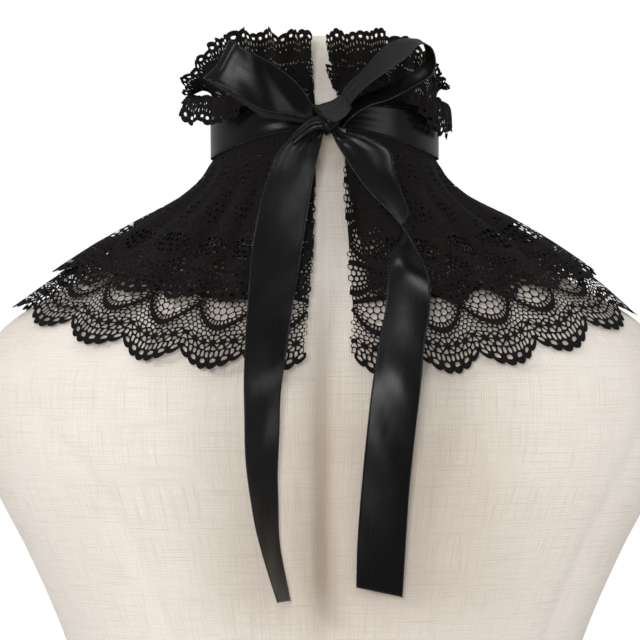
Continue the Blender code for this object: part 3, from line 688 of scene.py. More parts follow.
def walkOut(half, pitch, startHalf):
    # places from the middle of a scallop out to its end, a pitch apart; the pitch may change on the way
    pitchAt = pitch if callable(pitch) else lambda at: pitch
    places = [0.5 * pitchAt(0.0) if startHalf else 0.0]
    while places[-1] + pitchAt(places[-1]) < half * 1.001:
        places.append(places[-1] + pitchAt(places[-1]))
    last = pitchAt(places[-1])
    target = half if half - places[-1] < 0.5 * last else half - 0.5 * last
    return [place * target / places[-1] for place in places] if places[-1] > 0 else places


def laceSeeds(height, s=laceUnit, r=swagRows):
    half = 0.5 * s["width"]
    seeds = []

    def add(at, y, kind, shift=0.0):
        seeds.append((half + shift - at, y, kind))
        if 1e-6 < at < half - 1e-6:
            seeds.append((half + shift + at, y, kind))

    pitch = s["width"] / s["bumps"]
    for n in range(s["bumps"]):
        seeds.append(((n + 0.5) * pitch, s["edgeRow"], "edge"))
        seeds.append(((n + 0.5) * pitch, s["ovalRow"], "oval"))
    for at in walkOut(half, s["smallPitch"], True):
        add(at, s["smallRow"], "small")
    for share in s["dots"]:
        x = share * s["width"]
        seeds.append((x, s["dotRow"], "solid"))
        for n in range(s["petals"]):
            turn = 2 * math.pi * (n + 0.5) / s["petals"]
            wide, tall = s["petalReach"]
            seeds.append((x + wide * math.cos(turn), s["dotRow"] + tall * math.sin(turn), "petal"))
    for share in s["between"]:
        for y, kind in s["betweenRows"]:
            seeds.append((share * s["width"], s["dotRow"] + y, kind))

    def archAt(top):
        return lambda at: top - s["archDrop"] * (at / half) ** 2

    def block(base, rise, thick, arch, kinds, level, shift, floor):
        # a swag of solid work with a lens of net on it
        def swag(at):
            return base + rise * (at / half) ** r["power"]

        def edge(at):
            return thick * (1 - (at / half) ** 2) + r["endThick"]

        def tight(at):
            return (arch(at) - swag(at) - edge(at) - r["netGap"]) / s["netRows"]

        for at in walkOut(half, r["underPitch"], True):
            y = swag(at) - edge(at) - r["underGap"]
            if y > floor(at):
                add(at, y, "small", shift)
        row, y = 0, level
        while y < swag(half) - edge(half) - r["fineEnd"]:
            for at in walkOut(half, r["finePitch"], row % 2 == 0):
                if swag(at) - edge(at) - r["finePitch"] > y > floor(at):
                    add(at, y, "fine", shift)
            row += 1
            y = level + row * r["fineStep"]
        for at in walkOut(half, lambda at: max(r["solidPitch"] * edge(at), r["solidPitch"]), False):
            add(at, swag(at), "solid", shift)
        for at in walkOut(half, r["overPitch"], False):
            if at < half - r["overEnd"]:
                add(at, swag(at) + edge(at) + r["overGap"], "small", shift)
        for n in range(s["netRows"]):
            for at in walkOut(half, lambda at: max(r["netStretch"] * tight(at), r["netPitch"]), n % 2 == 0):
                if at < half - r["netEnd"]:
                    y = swag(at) + edge(at) + r["netGap"] + tight(at) * (n + 0.5)
                    add(at, y, kinds[0] if tight(at) > r["netPitch"] else kinds[1], shift)
        for at in walkOut(half, r["archPitch"], False):
            add(at, arch(at) + r["archGap"], "solid", shift)

    top = s["netTop"]
    block(s["swagRow"], s["swagRise"], s["swagThick"], archAt(top), ("mesh", "fine"),
          s["dotRow"] + s["fineAboveDots"], 0.0, lambda at: 0.0)
    n = 1
    while top < height:
        below, above = archAt(top), archAt(top + s["nextHeight"])
        block(top + s["nextGap"], s["nextRise"], s["nextThick"], above, ("net", "solid"),
              below(half) + s["nextFine"], half if n % 2 else 0.0,
              lambda at, below=below: below(half - at) + s["nextFloor"])
        top += s["nextHeight"]
        n += 1
    return [(x % s["width"], y, kind) for x, y, kind in seeds if y < height]


def laceCells(height, s=laceUnit):
    # the cell of each seed, from the triangles between the seeds of this scallop and its neighbours
    width = s["width"]
    seeds = []
    rng = np.random.default_rng(s["seed"])
    for x, y, kind in laceSeeds(height, s):
        if all(min(abs(x - a), width - abs(x - a)) ** 2 + (y - b) ** 2 > s["apartSquared"]
               for a, b, other in seeds):
            seeds.append((x, y, kind))
    loose = ("mesh", "fine", "small", "petal", "net")
    shifts = rng.uniform(-1, 1, (len(seeds), 2)) * s["jitter"]
    seeds = [(x + dx, y + dy, kind) if kind in loose else (x, y, kind)
             for (x, y, kind), (dx, dy) in zip(seeds, shifts)]
    every = seeds + [(x + turn * width, y, kind) for turn in (-1, 1) for x, y, kind in seeds]
    every += [(x, y, "out") for x in np.arange(-width, 2 * width, s["outPitch"])
              for y in (s["outBelow"], height + s["outAbove"])]
    points, _, triangles, sources, _, _ = delaunay_2d_cdt([Vector(p[:2]) for p in every], [], [], 0, 1e-6)
    corners = np.array([[points[n] for n in triangle] for triangle in triangles])
    a, b, c = corners[:, 0], corners[:, 1], corners[:, 2]
    double = 2 * (a[:, 0] * (b - c)[:, 1] + b[:, 0] * (c - a)[:, 1] + c[:, 0] * (a - b)[:, 1])
    aa, bb, cc = (a ** 2).sum(1), (b ** 2).sum(1), (c ** 2).sum(1)
    middles = np.stack(((aa * (b - c)[:, 1] + bb * (c - a)[:, 1] + cc * (a - b)[:, 1]) / double,
                        (aa * (c - b)[:, 0] + bb * (a - c)[:, 0] + cc * (b - a)[:, 0]) / double), axis=1)
    around = {}
    for n, triangle in enumerate(triangles):
        for corner in triangle:
            around.setdefault(corner, []).append(n)
    cells = []
    for n, point in enumerate(points):
        source = sources[n][0] if sources[n] else len(every)
        if source >= len(seeds):
            continue
        ring = middles[around[n]]
        ring = ring[np.argsort(np.arctan2(ring[:, 1] - point[1], ring[:, 0] - point[0]))]
        cell = []
        for x, y in ring:
            corner = (round(float(x), 2), round(float(y), 2))
            if not cell or math.dist(cell[-1], corner) > s["weld"]:
                cell.append(corner)
        if math.dist(cell[0], cell[-1]) <= s["weld"]:
            cell.pop()
        cells.append((seeds[source][2], tuple(point), cell))
    return cells


def cutSide(shape, px, py, nx, ny):
    # keeps what lies on the side that the normal points to
    out = []
    for n, first in enumerate(shape):
        second = shape[(n + 1) % len(shape)]
        one = (first[0] - px) * nx + (first[1] - py) * ny
        two = (second[0] - px) * nx + (second[1] - py) * ny
        if one >= 0:
            out.append(first)
        if one * two < 0:
            part = one / (one - two)
            out.append((first[0] + part * (second[0] - first[0]), first[1] + part * (second[1] - first[1])))
    return out


def threadAt(y, dense, closed, s=laceUnit):
    # the work closes up above the scallops' net, and all over where it is gathered into a ruffle
    def reached(way, over):
        return min(max(way / over, 0.0), 1.0)
    return 1.0 + dense * reached(y, s["denseOver"]) + closed * reached(y - s["closeFrom"], s["closeOver"])


def meshHole(cell, by, rounded):
    # the cell with each side moved in by half a thread
    shape = list(cell)
    for n, first in enumerate(cell):
        second = cell[(n + 1) % len(cell)]
        length = math.dist(first, second)
        nx, ny = (first[1] - second[1]) / length, (second[0] - first[0]) / length
        shape = cutSide(shape, first[0] + nx * by, first[1] + ny * by, nx, ny)
        if len(shape) < 3:
            return []
    if rounded:
        shape = [(p[0] + part * (q[0] - p[0]), p[1] + part * (q[1] - p[1]))
                 for p, q in zip(shape, shape[1:] + shape[:1]) for part in (0.27, 0.73)]
    area = 0.5 * sum(p[0] * q[1] - q[0] * p[1] for p, q in zip(shape, shape[1:] + shape[:1]))
    return shape if area > laceUnit["leastHole"] else []


def bumpEdge(x, deep, s=laceUnit):
    turned = abs(math.sin(math.pi * x * s["bumps"] / s["width"]))
    return s["edgeLine"] - deep * turned ** s["bumpFullness"]


def laceUnitMesh(height, dense, closed, bumpDepth):
    # flat points in mm (x along the strip, y up from the scallop's edge) and faces
    points, faces, index = [], [], {}

    def at(corner):
        key = (round(corner[0], 2), round(corner[1], 2))
        if key not in index:
            index[key] = len(points)
            points.append(key)
        return index[key]

    def ringFaces(outer, inner, seed):
        # triangles between a cell and the mesh in it, both sorted round the seed
        def turnOf(p):
            return math.atan2(p[1] - seed[1], p[0] - seed[0])
        both = sorted([(turnOf(p), 0, p) for p in outer] + [(turnOf(p), 1, p) for p in inner])
        outer = [p for _, side, p in both if side == 0]
        inner = [p for _, side, p in both if side == 1]
        o, i = outer[-1], inner[-1]
        for _, side, p in both:
            if side == 0:
                faces.append((at(o), at(p), at(i)))
                o = p
            else:
                faces.append((at(i), at(o), at(p)))
                i = p

    for kind, seed, cell in laceCells(height):
        if kind == "edge":
            line, heart = laceUnit["edgeLine"], (seed[0], laceUnit["edgeHeart"])
            cell = cutSide(cell, 0, line, 0, 1)
            low = sorted(p[0] for p in cell if p[1] < line + 0.01)
            rest = [p for p in cell if p[1] >= line + 0.01]
            run = np.linspace(low[0], low[-1], laceUnit["bumpPoints"])
            arc = [(float(x), bumpEdge(float(x), bumpDepth)) for x in run]
            cell = arc + sorted(rest, key=lambda p: math.atan2(p[1] - 1.5, p[0] - seed[0]))
            for p, q in zip(cell, cell[1:] + cell[:1]):
                faces.append((at(heart), at(p), at(q)))
            continue
        by, rounded = openKinds.get(kind, (0.0, False))
        hole = meshHole(cell, by * threadAt(seed[1], dense, closed), rounded) if by else []
        if kind == "oval":
            hole = [(seed[0] + (p[0] - seed[0]) * laceUnit["ovalWidth"], p[1]) for p in hole]
        if hole:
            centre = (sum(p[0] for p in hole) / len(hole), sum(p[1] for p in hole) / len(hole))
            ringFaces(cell, hole, centre)
        else:
            ids = [at(p) for p in cell]
            faces += [(ids[0], ids[n], ids[n + 1]) for n in range(1, len(ids) - 1)]
    return points, [face for face in faces if len(set(face)) == 3]


def newTree(name, inputs):
    # a Geometry Nodes tree with its named inputs
    tree = bpy.data.node_groups.new(name, "GeometryNodeTree")
    for title, kind in (("Geometry", "Geometry"), *inputs):
        tree.interface.new_socket(title, in_out="INPUT", socket_type="NodeSocket" + kind)
    tree.interface.new_socket("Geometry", in_out="OUTPUT", socket_type="NodeSocketGeometry")
    return tree, tree.nodes.new("NodeGroupInput").outputs, tree.nodes.new("NodeGroupOutput").inputs


def laceRepeatTree():
    # repeats the flat scallop along a strip and lays it on the draped surface by its flat place
    tree, given, result = newTree("laceRepeat", (("Scallop", "Object"), ("Count", "Int"),
                                                 ("Join Distance", "Float"), ("Finish", "Material")))
    step, offset = tree.nodes.new("ShaderNodeMath"), tree.nodes.new("ShaderNodeCombineXYZ")
    info, line, instances, real, keep, position, sheetUv, sample, place, merge, last, finish = [
        tree.nodes.new("GeometryNode" + kind) for kind in (
            "ObjectInfo", "MeshLine", "InstanceOnPoints", "RealizeInstances", "StoreNamedAttribute",
            "InputPosition", "InputNamedAttribute", "SampleUVSurface", "SetPosition", "MergeByDistance",
            "RealizeInstances", "SetMaterial")]
    step.operation = "DIVIDE"
    step.inputs[0].default_value = 1.0
    keep.domain = "POINT"
    keep.data_type = sheetUv.data_type = sample.data_type = "FLOAT_VECTOR"
    keep.inputs["Name"].default_value = "flatPlace"
    sheetUv.inputs["Name"].default_value = "sheetUv"
    linkAll(tree, (
        (given["Scallop"], info.inputs["Object"]), (given["Count"], step.inputs[1]),
        (step.outputs[0], offset.inputs["X"]), (given["Count"], line.inputs["Count"]),
        (offset.outputs[0], line.inputs["Offset"]), (line.outputs["Mesh"], instances.inputs["Points"]),
        (info.outputs["Geometry"], instances.inputs["Instance"]),
        (instances.outputs["Instances"], real.inputs["Geometry"]),
        (real.outputs["Geometry"], keep.inputs["Geometry"]), (position.outputs[0], keep.inputs["Value"]),
        (keep.outputs["Geometry"], place.inputs["Geometry"]), (given["Geometry"], sample.inputs["Mesh"]),
        (position.outputs[0], sample.inputs["Value"]),
        (sheetUv.outputs["Attribute"], sample.inputs["Source UV Map"]),
        (position.outputs[0], sample.inputs["Sample UV"]),
        (sample.outputs["Value"], place.inputs["Position"]),
        (place.outputs["Geometry"], merge.inputs["Geometry"]),
        (given["Join Distance"], merge.inputs["Distance"]),
        (merge.outputs["Geometry"], last.inputs["Geometry"]),
        (last.outputs["Geometry"], finish.inputs["Geometry"]),
        (given["Finish"], finish.inputs["Material"]), (finish.outputs["Geometry"], result["Geometry"])))
    return tree


def runTree(host, tree, values):
    # applies the tree to the host and returns the result as a new plain object
    modifier = host.modifiers.new(tree.name, "NODES")
    modifier.node_group = tree
    for item in tree.interface.items_tree:
        if item.item_type == "SOCKET" and item.in_out == "INPUT" and item.name in values:
            modifier[item.identifier] = values[item.name]
    bpy.context.view_layer.update()
    shown = host.evaluated_get(bpy.context.evaluated_depsgraph_get())
    mesh = bpy.data.meshes.new_from_object(shown)
    made = bpy.data.objects.new(host.name + "Lace", mesh)
    scene.collection.objects.link(made)
    host.modifiers.remove(modifier)
    return made


laceRepeat = laceRepeatTree()
laceJoin = 0.00002


def laceOnSheet(name, sheet, height, edgeDepth, isRuffle, dense, closed):
    # the flat scallop in the sheet's own places, repeated over the sheet
    points, faces = laceUnitMesh(height, dense, closed, laceUnit["ruffleBump" if isRuffle else "bumpDepth"])
    flat = np.array(points)
    across = flat[:, 0] / laceUnit["width"] / drape["scallops"]
    inset = laceUnit["ruffleInset"] if isRuffle else 0.0
    share = scalloped(across, 1.0 - (flat[:, 1] + inset) / height, edgeDepth)
    if isRuffle:
        faces = [tuple(reversed(face)) for face in faces]
    unit = makeMesh(name + "Unit", np.stack((across, share, 0 * share), axis=-1) / mm, faces)
    made = runTree(sheet, laceRepeat, {"Scallop": unit, "Count": drape["scallops"], "Join Distance": laceJoin,
                                       "Finish": lace})
    made.name = name
    a, b, c = [flat[[face[n] for face in faces]] for n in range(3)]
    work = (b - a)[:, 0] * (c - a)[:, 1] - (b - a)[:, 1] * (c - a)[:, 0]
    made["flatWork"] = float(drape["scallops"] * 0.5 * np.abs(work).sum())
    place = np.zeros(len(made.data.vertices) * 3, dtype=np.float32)
    made.data.attributes["flatPlace"].data.foreach_get("vector", place)
    place = place.reshape(-1, 3)
    layer = made.data.uv_layers.new(name="UVMap")
    corners = np.zeros(len(made.data.loops), dtype=np.int32)
    made.data.loops.foreach_get("vertex_index", corners)
    uv = np.stack((place[:, 0] * drape["scallops"] * laceUnit["width"], place[:, 1] * height), axis=-1)
    layer.data.foreach_set("uv", uv[corners].ravel())
    made.data.attributes.remove(made.data.attributes["flatPlace"])
    made.data.shade_smooth()
    for used in (unit, sheet):
        bpy.data.objects.remove(used)
    return made


def joinPieces(name, pieces):
    with bpy.context.temp_override(active_object=pieces[0], object=pieces[0], selected_objects=pieces,
                                   selected_editable_objects=pieces):
        bpy.ops.object.join()
    pieces[0].name = name
    pieces[0].data.name = name
    return pieces[0]


pinch = {"columns": 481, "rows": 7, "depth": 0.22, "gathers": 1.4}
strips = {
    "long": {"tier": 130.0, "ruffle": 46.0, "edge": drape["longScallop"], "radius": longRadius,
             "dense": 1.25, "tierDense": 0.0, "closed": 0.35},
    "short": {"tier": 96.0, "ruffle": 31.0, "edge": drape["shortScallop"], "radius": shortRadius,
              "dense": 1.35, "tierDense": 0.75, "closed": 0.55},
}
stripLength = drape["scallops"] * laceUnit["width"]


def pinchedBand(name, radius):
    # the lace under the ribbon, gathered small
    across = np.linspace(0.0, 1.0, pinch["columns"])
    turn, height = np.meshgrid(neckAngles(across), np.linspace(pinchBottom, pinchTop, pinch["rows"]))
    gathers = drape["fineGathers"][0] * pinch["gathers"]
    gather = pinch["depth"] * np.cos(2 * math.pi * gathers * np.broadcast_to(across, turn.shape))
    ring = radius + gather * np.sin(math.pi * (height - pinchBottom) / (pinchTop - pinchBottom))
    points = np.stack((ring * np.sin(turn), -ring * np.cos(turn), height), axis=-1)
    faces = [tuple(reversed(face)) for face in gridFaces(*turn.shape)]
    uvs = np.stack((np.broadcast_to(across, turn.shape) * stripLength, height), axis=-1).reshape(-1, 2)
    return makeMesh(name, points.reshape(-1, 3), faces, uvs, [lace])


def buildStrip(kind):
    s = strips[kind]
    tierShape, table = (tierPoints, tallRuffle) if kind == "long" else (shortTierPoints, lowRuffle)
    across, share = sheetGrid(drape["tierRows"])
    sheet = drapedSheet(kind + "Tier", tierShape(across, share), across, share)
    tier = laceOnSheet(kind + "TierLace", sheet, s["tier"], s["edge"], False, s["tierDense"], s["closed"])
    across, share = sheetGrid(drape["ruffleRows"])
    sheet = drapedSheet(kind + "Ruffle", rufflePoints(table, across, share), across, share, True)
    ruffle = laceOnSheet(kind + "RuffleLace", sheet, s["ruffle"], drape["ruffleScallop"], True,
                         s["dense"], s["closed"])
    s["width"], s["pinch"] = stripLength, pinchTop - pinchBottom
    s["tierWork"], s["ruffleWork"] = tier["flatWork"], ruffle["flatWork"]
    band = pinchedBand(kind + "Pinch", s["radius"])
    strip = joinPieces("laceStrip" + kind.capitalize(), [tier, band, ruffle])
    print(strip.name, sum(len(face.vertices) - 2 for face in strip.data.polygons), "triangles")
    return strip


longStrip = buildStrip("long")
shortStrip = buildStrip("short")
for strip, node in ((longStrip, "lace_strip_long"), (shortStrip, "lace_strip_short")):
    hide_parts(node)
    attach(strip, "root")

# Satin ribbon
Station = namedtuple("Station", "ax ay az bx by bz")
leftLoop = [Station(*row) for row in (
    (-3.6, -67.0, 667.5, -3.6, -68.5, 673.5), (-14.0, -70.5, 669.0, -12.5, -71.5, 683.0),
    (-32.0, -74.5, 672.2, -26.5, -75.5, 693.5), (-50.0, -77.5, 683.5, -39.0, -78.5, 703.5),
    (-59.5, -79.5, 689.0, -46.5, -80.5, 708.5), (-62.2, -83.0, 690.8, -49.3, -83.5, 710.0),
    (-59.5, -86.7, 689.3, -46.8, -86.5, 709.0), (-50.0, -88.0, 684.5, -39.8, -87.5, 704.5),
    (-33.0, -86.0, 674.7, -26.5, -85.5, 697.5), (-19.0, -81.0, 672.5, -13.0, -80.5, 686.8),
    (-8.5, -76.5, 670.5, -6.5, -76.5, 677.5), (-3.6, -73.0, 668.5, -3.6, -73.0, 673.5))]
rightLoop = [Station(*row) for row in (
    (9.0, -73.0, 671.5, 9.0, -68.0, 674.0), (13.8, -79.0, 679.0, 9.0, -68.3, 683.5),
    (27.3, -87.0, 690.5, 19.5, -69.5, 696.0), (41.5, -91.0, 700.5, 33.5, -70.5, 709.2),
    (50.0, -92.0, 708.0, 43.5, -71.0, 712.5), (54.6, -91.5, 706.2, 50.0, -71.0, 711.8),
    (56.6, -91.0, 699.0, 52.8, -70.5, 705.0), (55.0, -90.5, 692.5, 50.5, -70.0, 698.5),
    (49.5, -89.5, 688.0, 43.0, -69.5, 693.5), (34.5, -85.5, 680.0, 28.0, -68.5, 686.5),
    (20.5, -80.0, 675.5, 16.0, -67.5, 680.0), (12.5, -75.5, 670.0, 10.5, -67.3, 673.5),
    (9.0, -72.5, 665.5, 9.0, -67.5, 668.0))]
leftTail = [Station(*row) for row in (
    (-3.6, -71.8, 668.4, 2.6, -72.2, 667.6),
    (-6.0, -72.5, 663.6, -0.8, -73.0, 662.2), (-14.3, -74.0, 662.0, -1.8, -74.5, 657.8),
    (-23.1, -75.0, 654.2, -3.4, -76.0, 651.1), (-28.3, -76.5, 642.8, -6.0, -77.5, 640.2),
    (-32.3, -79.0, 629.5, -8.0, -79.5, 628.0), (-37.4, -85.5, 602.9, -12.1, -84.0, 601.9),
    (-39.2, -96.0, 576.1, -16.1, -92.5, 576.1), (-40.7, -104.0, 553.0, -19.2, -96.5, 553.0),
    (-41.1, -111.0, 535.1, -21.7, -99.5, 535.1), (-40.6, -115.0, 509.6, -23.3, -99.8, 509.6),
    (-38.1, -118.0, 480.0, -24.3, -99.5, 480.0), (-32.4, -119.5, 450.3, -22.7, -99.0, 450.3),
    (-23.8, -120.0, 423.2, -17.6, -98.5, 422.2))]
rightTail = [Station(*row) for row in (
    (1.4, -72.0, 667.4, 5.4, -71.6, 669.4),
    (4.4, -73.0, 661.6, 8.8, -72.5, 664.1), (6.0, -75.0, 657.8, 19.5, -74.5, 661.5),
    (8.1, -76.0, 654.2, 33.0, -75.0, 654.2), (13.7, -78.0, 645.1, 36.0, -76.0, 642.5),
    (22.5, -83.0, 633.0, 39.6, -77.0, 632.0), (32.5, -91.0, 622.5, 43.0, -78.5, 621.5),
    (40.5, -97.0, 612.5, 39.5, -80.5, 612.5), (46.5, -97.0, 602.9, 35.2, -84.5, 602.9),
    (52.7, -94.0, 589.0, 32.6, -89.5, 589.0), (54.1, -94.5, 576.0, 31.5, -93.0, 574.5),
    (50.9, -98.0, 552.0, 27.4, -97.5, 552.0), (49.3, -101.0, 535.1, 24.8, -101.0, 536.2),
    (45.8, -102.0, 505.5, 21.2, -102.0, 505.5), (43.2, -101.5, 480.0, 18.7, -101.5, 478.9),
    (41.2, -100.5, 450.2, 16.6, -101.0, 450.2), (39.7, -99.0, 424.1, 16.1, -100.0, 429.2))]

ribbon = {"thick": 0.42, "width": ribbonWidth, "across": 25, "pleatCount": 5.0, "pleatFrom": 4.0,
          "picotPitch": 1.3, "picot": 0.27, "picotStretch": 1.5}


def wallOf(name, grid, uv, thick, materials):
    # closed thin wall round a grid of points; the second material is on the inner side
    rows, columns = grid.shape[:2]
    normals = gridNormals(grid)
    outer, inner = grid + normals * 0.5 * thick, grid - normals * 0.5 * thick
    count = rows * columns
    front = gridFaces(rows, columns)
    faces = front + [tuple(count + n for n in reversed(face)) for face in front]
    kinds = [0] * len(front) + [1] * len(front)
    border = ([(0, c) for c in range(columns)] + [(r, columns - 1) for r in range(1, rows)]
              + [(rows - 1, c) for c in range(columns - 2, -1, -1)]
              + [(r, 0) for r in range(rows - 2, 0, -1)])
    border = [r * columns + c for r, c in border]
    for a, b in zip(border, border[1:] + border[:1]):
        faces.append((a, b, count + b, count + a))
        kinds.append(0)
    points = np.concatenate((outer.reshape(-1, 3), inner.reshape(-1, 3)))
    uvs = np.concatenate((uv.reshape(-1, 2), uv.reshape(-1, 2)))
    return makeMesh(name, points, faces, uvs, materials, kinds)


def ribbonGrid(s):
    # rows across the ribbon, columns along it
    edges = np.array(s["stations"], float).reshape(len(s["stations"]), 2, 3)
    middle = edges.mean(axis=1)
    reach = np.concatenate(([0.0], np.cumsum(np.linalg.norm(np.diff(middle, axis=0), axis=1))))
    at = np.linspace(0.0, reach[-1], s["steps"])
    ways = [[edges[:, side, axis] for axis in range(3)] for side in range(2)]
    first, second = [np.stack([hermite(reach, way, np.gradient(way, reach), at) for way in side], axis=-1)
                     for side in ways]
    share = np.linspace(0.0, 1.0, ribbon["across"])[:, None, None]
    grid = first[None] * (1 - share) + second[None] * share
    normals = gridNormals(grid)
    ends = np.sin(np.linspace(0.0, math.pi, s["steps"])) ** 0.5
    bend = s["curl"] * (1 - (2 * share[..., 0] - 1) ** 2) * ends[None, :]
    near = np.exp(-at / s["pleatEnd"]) * np.clip(at / ribbon["pleatFrom"], 0, 1)
    bend = bend + s["pleats"] * np.sin(share[..., 0] * math.pi * ribbon["pleatCount"]) * near[None, :]
    for depth, length, slant, start in s["ripples"]:
        # soft waves that cross the ribbon at a slant, and die out at its ends
        turned = 2 * math.pi * at[None, :] / length + slant * math.pi * share[..., 0] + start
        bend = bend + depth * np.sin(turned) * ends[None, :]
    grid = grid + normals * bend[..., None]
    uv = np.stack(np.broadcast_arrays(at[None, :], share[..., 0] * ribbon["width"]), axis=-1)
    return grid, uv, at


def picotTree():
    # tiny beads of edge yarn along a curve
    tree, given, result = newTree("edgeBeads", (("Spacing", "Float"), ("Bead Size", "Float"),
                                                ("Stretch", "Float"), ("Finish", "Material")))
    toCurve, spots, bead, instances, real, finish = [
        tree.nodes.new("GeometryNode" + kind) for kind in (
            "MeshToCurve", "CurveToPoints", "MeshIcoSphere", "InstanceOnPoints", "RealizeInstances",
            "SetMaterial")]
    size, grow = tree.nodes.new("ShaderNodeCombineXYZ"), tree.nodes.new("ShaderNodeVectorMath")
    random = tree.nodes.new("FunctionNodeRandomValue")
    spots.mode, random.data_type, grow.operation = "LENGTH", "FLOAT", "SCALE"
    for node, values in ((bead, {"Subdivisions": 1}), (random, {"Min": 0.8, "Max": 1.25, "Seed": 5}),
                         (size, {"X": 1.0, "Z": 1.0})):
        for socket, value in values.items():
            node.inputs[socket].default_value = value
    linkAll(tree, (
        (given["Geometry"], toCurve.inputs["Mesh"]), (toCurve.outputs["Curve"], spots.inputs["Curve"]),
        (given["Spacing"], spots.inputs["Length"]), (spots.outputs["Points"], instances.inputs["Points"]),
        (spots.outputs["Rotation"], instances.inputs["Rotation"]),
        (given["Bead Size"], bead.inputs["Radius"]),
        (bead.outputs["Mesh"], instances.inputs["Instance"]), (size.outputs[0], grow.inputs[0]),
        (random.outputs["Value"], grow.inputs["Scale"]), (given["Stretch"], size.inputs["Y"]),
        (grow.outputs[0], instances.inputs["Scale"]),
        (instances.outputs["Instances"], real.inputs["Geometry"]),
        (real.outputs["Geometry"], finish.inputs["Geometry"]), (given["Finish"], finish.inputs["Material"]),
        (finish.outputs["Geometry"], result["Geometry"])))
    return tree


edgeBeads = picotTree()


def beadsAlong(name, line):
    # line is a path of points in mm
    host = makeMesh(name, line, [])
    host.data.edges.add(len(line) - 1)
    pairs = np.stack((np.arange(len(line) - 1), np.arange(1, len(line))), axis=-1)
    host.data.edges.foreach_set("vertices", pairs.astype(np.int32).ravel())
    host.data.update()
    made = runTree(host, edgeBeads, {"Spacing": ribbon["picotPitch"] * mm, "Bead Size": ribbon["picot"] * mm,
                                     "Stretch": ribbon["picotStretch"], "Finish": selvedge})
    bpy.data.objects.remove(host)
    return made


def withPicots(name, sheet, grid):
    beads = [beadsAlong(name + "Picots" + side, grid[row]) for side, row in (("Low", 0), ("High", -1))]
    return joinPieces(name, [sheet] + beads)


def ribbonPiece(name, s):
    grid, uv, at = ribbonGrid(s)
    made = withPicots(name, wallOf(name, grid, uv, ribbon["thick"], s["sides"]), grid)
    made.data.shade_smooth()
    return made, at[-1]


ribbonPieces = {
    "ribbonTailLeft": {"stations": leftTail, "node": "ribbon_tail_left", "steps": 220, "curl": 0.8,
                       "pleats": 0.7, "pleatEnd": 13, "held": "hung", "sides": [satinFace, satinFace],
                       "ripples": ((0.35, 88, 0.9, 0.4), (0.2, 37, 1.6, 2.0))},
    "ribbonTailRight": {"stations": rightTail, "node": "ribbon_tail_right", "steps": 220, "curl": 0.8,
                        "pleats": 0.7, "pleatEnd": 12, "held": "hung", "sides": [satinFace, satinFace],
                        "ripples": ((0.3, 76, 1.1, 1.4), (0.2, 41, 1.9, 0.5))},
    "bowLoopLeft": {"stations": leftLoop, "node": "bow_loop_left", "steps": 160, "curl": 1.0,
                    "pleats": 0.8, "pleatEnd": 16, "held": "folded", "sides": [satinBack, satinFace],
                    "ripples": ((0.5, 43, 1.3, 2.6), (0.25, 23, 2.2, 0.9))},
    "bowLoopRight": {"stations": rightLoop, "node": "bow_loop_right", "steps": 160, "curl": 0.8,
                     "pleats": 0.6, "pleatEnd": 16, "held": "folded", "sides": [satinFace, satinBack],
                     "ripples": ((0.35, 47, 1.2, 1.2), (0.2, 27, 2.0, 0.2))},
}
for name, s in ribbonPieces.items():
    piece, length = ribbonPiece(name, s)
    s["piece"], s["length"] = piece, length
    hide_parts(s["node"])
    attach(piece, "root")
    print(name, "length", round(length), "mm")


neckBand = {
    "halfOpening": 0.8, "columns": 361, "rows": 15, "halfHeight": 12.5, "rise": 13.0, "risePower": 2.2,
    "crease": 0.35, "creases": 4, "creasePower": 8, "waver": 0.12, "waves": 9, "waveLean": 2,
}


def buildBand():
    # the ribbon round the neck; its lower edge rises toward the knot
    s = neckBand
    end = math.radians(s["halfOpening"])
    angle = np.linspace(end, 2 * math.pi - end, s["columns"])
    toKnot = np.maximum(np.cos(angle), 0.0)
    low = ribbonCentre - s["halfHeight"] + s["rise"] * toKnot ** s["risePower"]
    high = np.full(len(angle), ribbonCentre + s["halfHeight"])
    share = np.linspace(1.0, 0.0, s["rows"])[:, None]
    height = low + (high - low) * share
    crease = s["crease"] * np.sin(share * math.pi * s["creases"]) * toKnot ** s["creasePower"]
    radius = bandRadius + crease + s["waver"] * np.sin(s["waves"] * angle + s["waveLean"] * share)
    grid = np.stack((radius * np.sin(angle), -radius * np.cos(angle), height), axis=-1)
    uv = np.stack(np.broadcast_arrays(angle[None, :] * bandRadius, share * ribbon["width"]), axis=-1)
    wall = wallOf("neckRibbon", grid, uv, ribbon["thick"], [satinFace, satinBack])
    return withPicots("neckRibbon", wall, grid)


band = buildBand()
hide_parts("neck_ribbon")
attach(band, "root")
print("ribbon built")

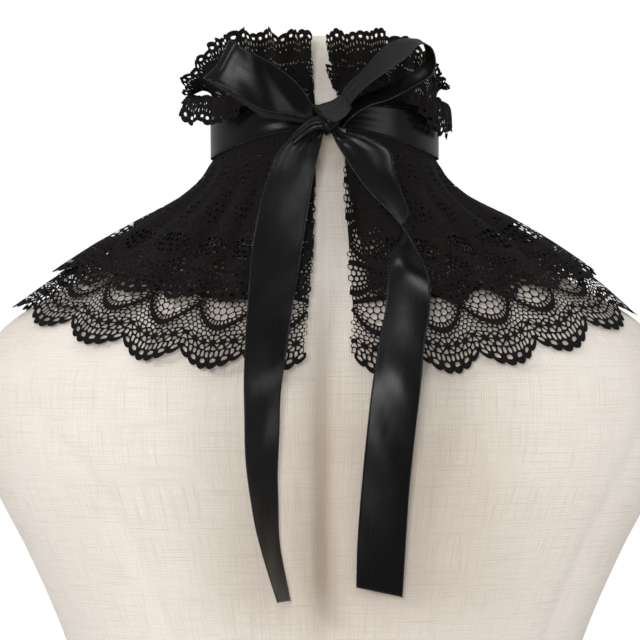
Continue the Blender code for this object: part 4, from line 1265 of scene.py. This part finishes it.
# The knot: a pleated wrap, with the end of the right loop and the fold of the left tail drawn over it
knotCore = {"centre": (2.4, -70.0, 669.0), "half": (5.7, 7.0, 6.9), "turn": -0.75, "fullness": 0.42,
            "squareness": 3.0, "reach": 0.985, "pleats": 3.2, "pleatDepth": 0.5, "pleatLean": 0.5,
            "around": 96, "along": 41, "clothRadius": 7, "clothLength": 8, "foldWeft": 0.4,
            "wrapLength": 30.0}
knotFolds = {
    "upper": {"stations": [Station(*row) for row in (
        (8.6, -75.6, 683.0, 14.2, -76.4, 676.0), (3.6, -77.9, 679.6, 9.8, -78.8, 670.6),
        (-1.8, -78.6, 677.8, 4.2, -79.6, 668.4), (-4.6, -77.8, 676.6, 0.2, -78.9, 670.6),
        (-5.8, -74.6, 675.0, -2.6, -76.0, 671.4))],
        "steps": 44, "curl": 0.9, "pleats": 0.35, "pleatEnd": 12, "ripples": ()},
    "lower": {"stations": [Station(*row) for row in (
        (-17.2, -76.2, 661.8, -16.0, -77.0, 656.2), (-11.4, -77.6, 667.6, -9.8, -78.0, 661.6),
        (-6.4, -78.4, 671.4, -4.4, -78.9, 664.4), (-2.2, -78.8, 671.0, 0.0, -79.2, 665.0),
        (0.4, -78.0, 669.4, 1.6, -78.4, 665.8), (1.6, -75.8, 668.6, 2.2, -76.2, 666.4))],
        "steps": 48, "curl": 0.9, "pleats": 0.35, "pleatEnd": 12, "ripples": ()},
}


def buildKnot():
    s = knotCore
    turn = np.linspace(0, 2 * math.pi, s["around"], endpoint=False)[None, :]
    along = np.linspace(-s["reach"], s["reach"], s["along"])[:, None]
    full = (1 - np.abs(along) ** s["squareness"]) ** s["fullness"]
    crease = np.cos(s["pleats"] * math.pi * along + s["pleatLean"] * np.sin(turn))
    crease = s["pleatDepth"] * crease * np.abs(np.sin(turn / 2)) ** 0.5
    away = -(s["half"][1] * full + crease) * np.cos(turn)
    up = (s["half"][2] * full + crease) * np.sin(turn)
    side = s["half"][0] * along + 0 * turn
    c, d = math.cos(s["turn"]), math.sin(s["turn"])
    grid = np.stack((side * c - up * d, away, side * d + up * c), axis=-1) + np.array(s["centre"])
    rows, columns = grid.shape[:2]
    faces = gridFaces(rows, columns, True)
    faces += [tuple(range(columns)), tuple(reversed(range((rows - 1) * columns, rows * columns)))]
    uv = np.stack((turn * s["clothRadius"] + 0 * along, along * s["clothLength"] + 0 * turn), axis=-1)
    pieces = [makeMesh("bowKnot", grid.reshape(-1, 3), faces, uv.reshape(-1, 2), [satinFace, satinBack])]
    for name, fold in knotFolds.items():
        sheet, flat, at = ribbonGrid(fold)
        pieces.append(wallOf("bowKnot" + name.capitalize(), sheet, flat * (1, s["foldWeft"]), ribbon["thick"],
                             [satinFace, satinBack]))
        print("knot fold", name, round(at[-1]), "mm")
    return joinPieces("bowKnot", pieces)


knot = buildKnot()
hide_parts("bow_knot")
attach(knot, "root")
print("knot built")

# The strips are straight galloon, 24 scallops long. This loop only looks up each strip's entry in the strips
# table. The area is that of the work between the meshes, less what the gathers hide: each part is as long as
# its rows on average when worn.
for kind, strip in (("long", longStrip), ("short", shortStrip)):
    s = strips[kind]

# Floor
paper = {"sides": (-1500, 1500), "near": -1000, "far": 1500, "grain": 24, "roughness": 0.7,
         "from": (0.3, (0.86, 0.86, 0.86)), "to": (0.8, (0.83, 0.83, 0.83))}
left, right = paper["sides"]
floor = makeMesh("floor", [(left, paper["near"], 0), (right, paper["near"], 0), (right, paper["far"], 0),
                           (left, paper["far"], 0)], [(0, 1, 2, 3)])
m = Shader("palePaper", paper)
m.paint(m.noise((paper["grain"],) * 3, 3.0, kind="Object"), paper)
floor.data.materials.append(m.material)
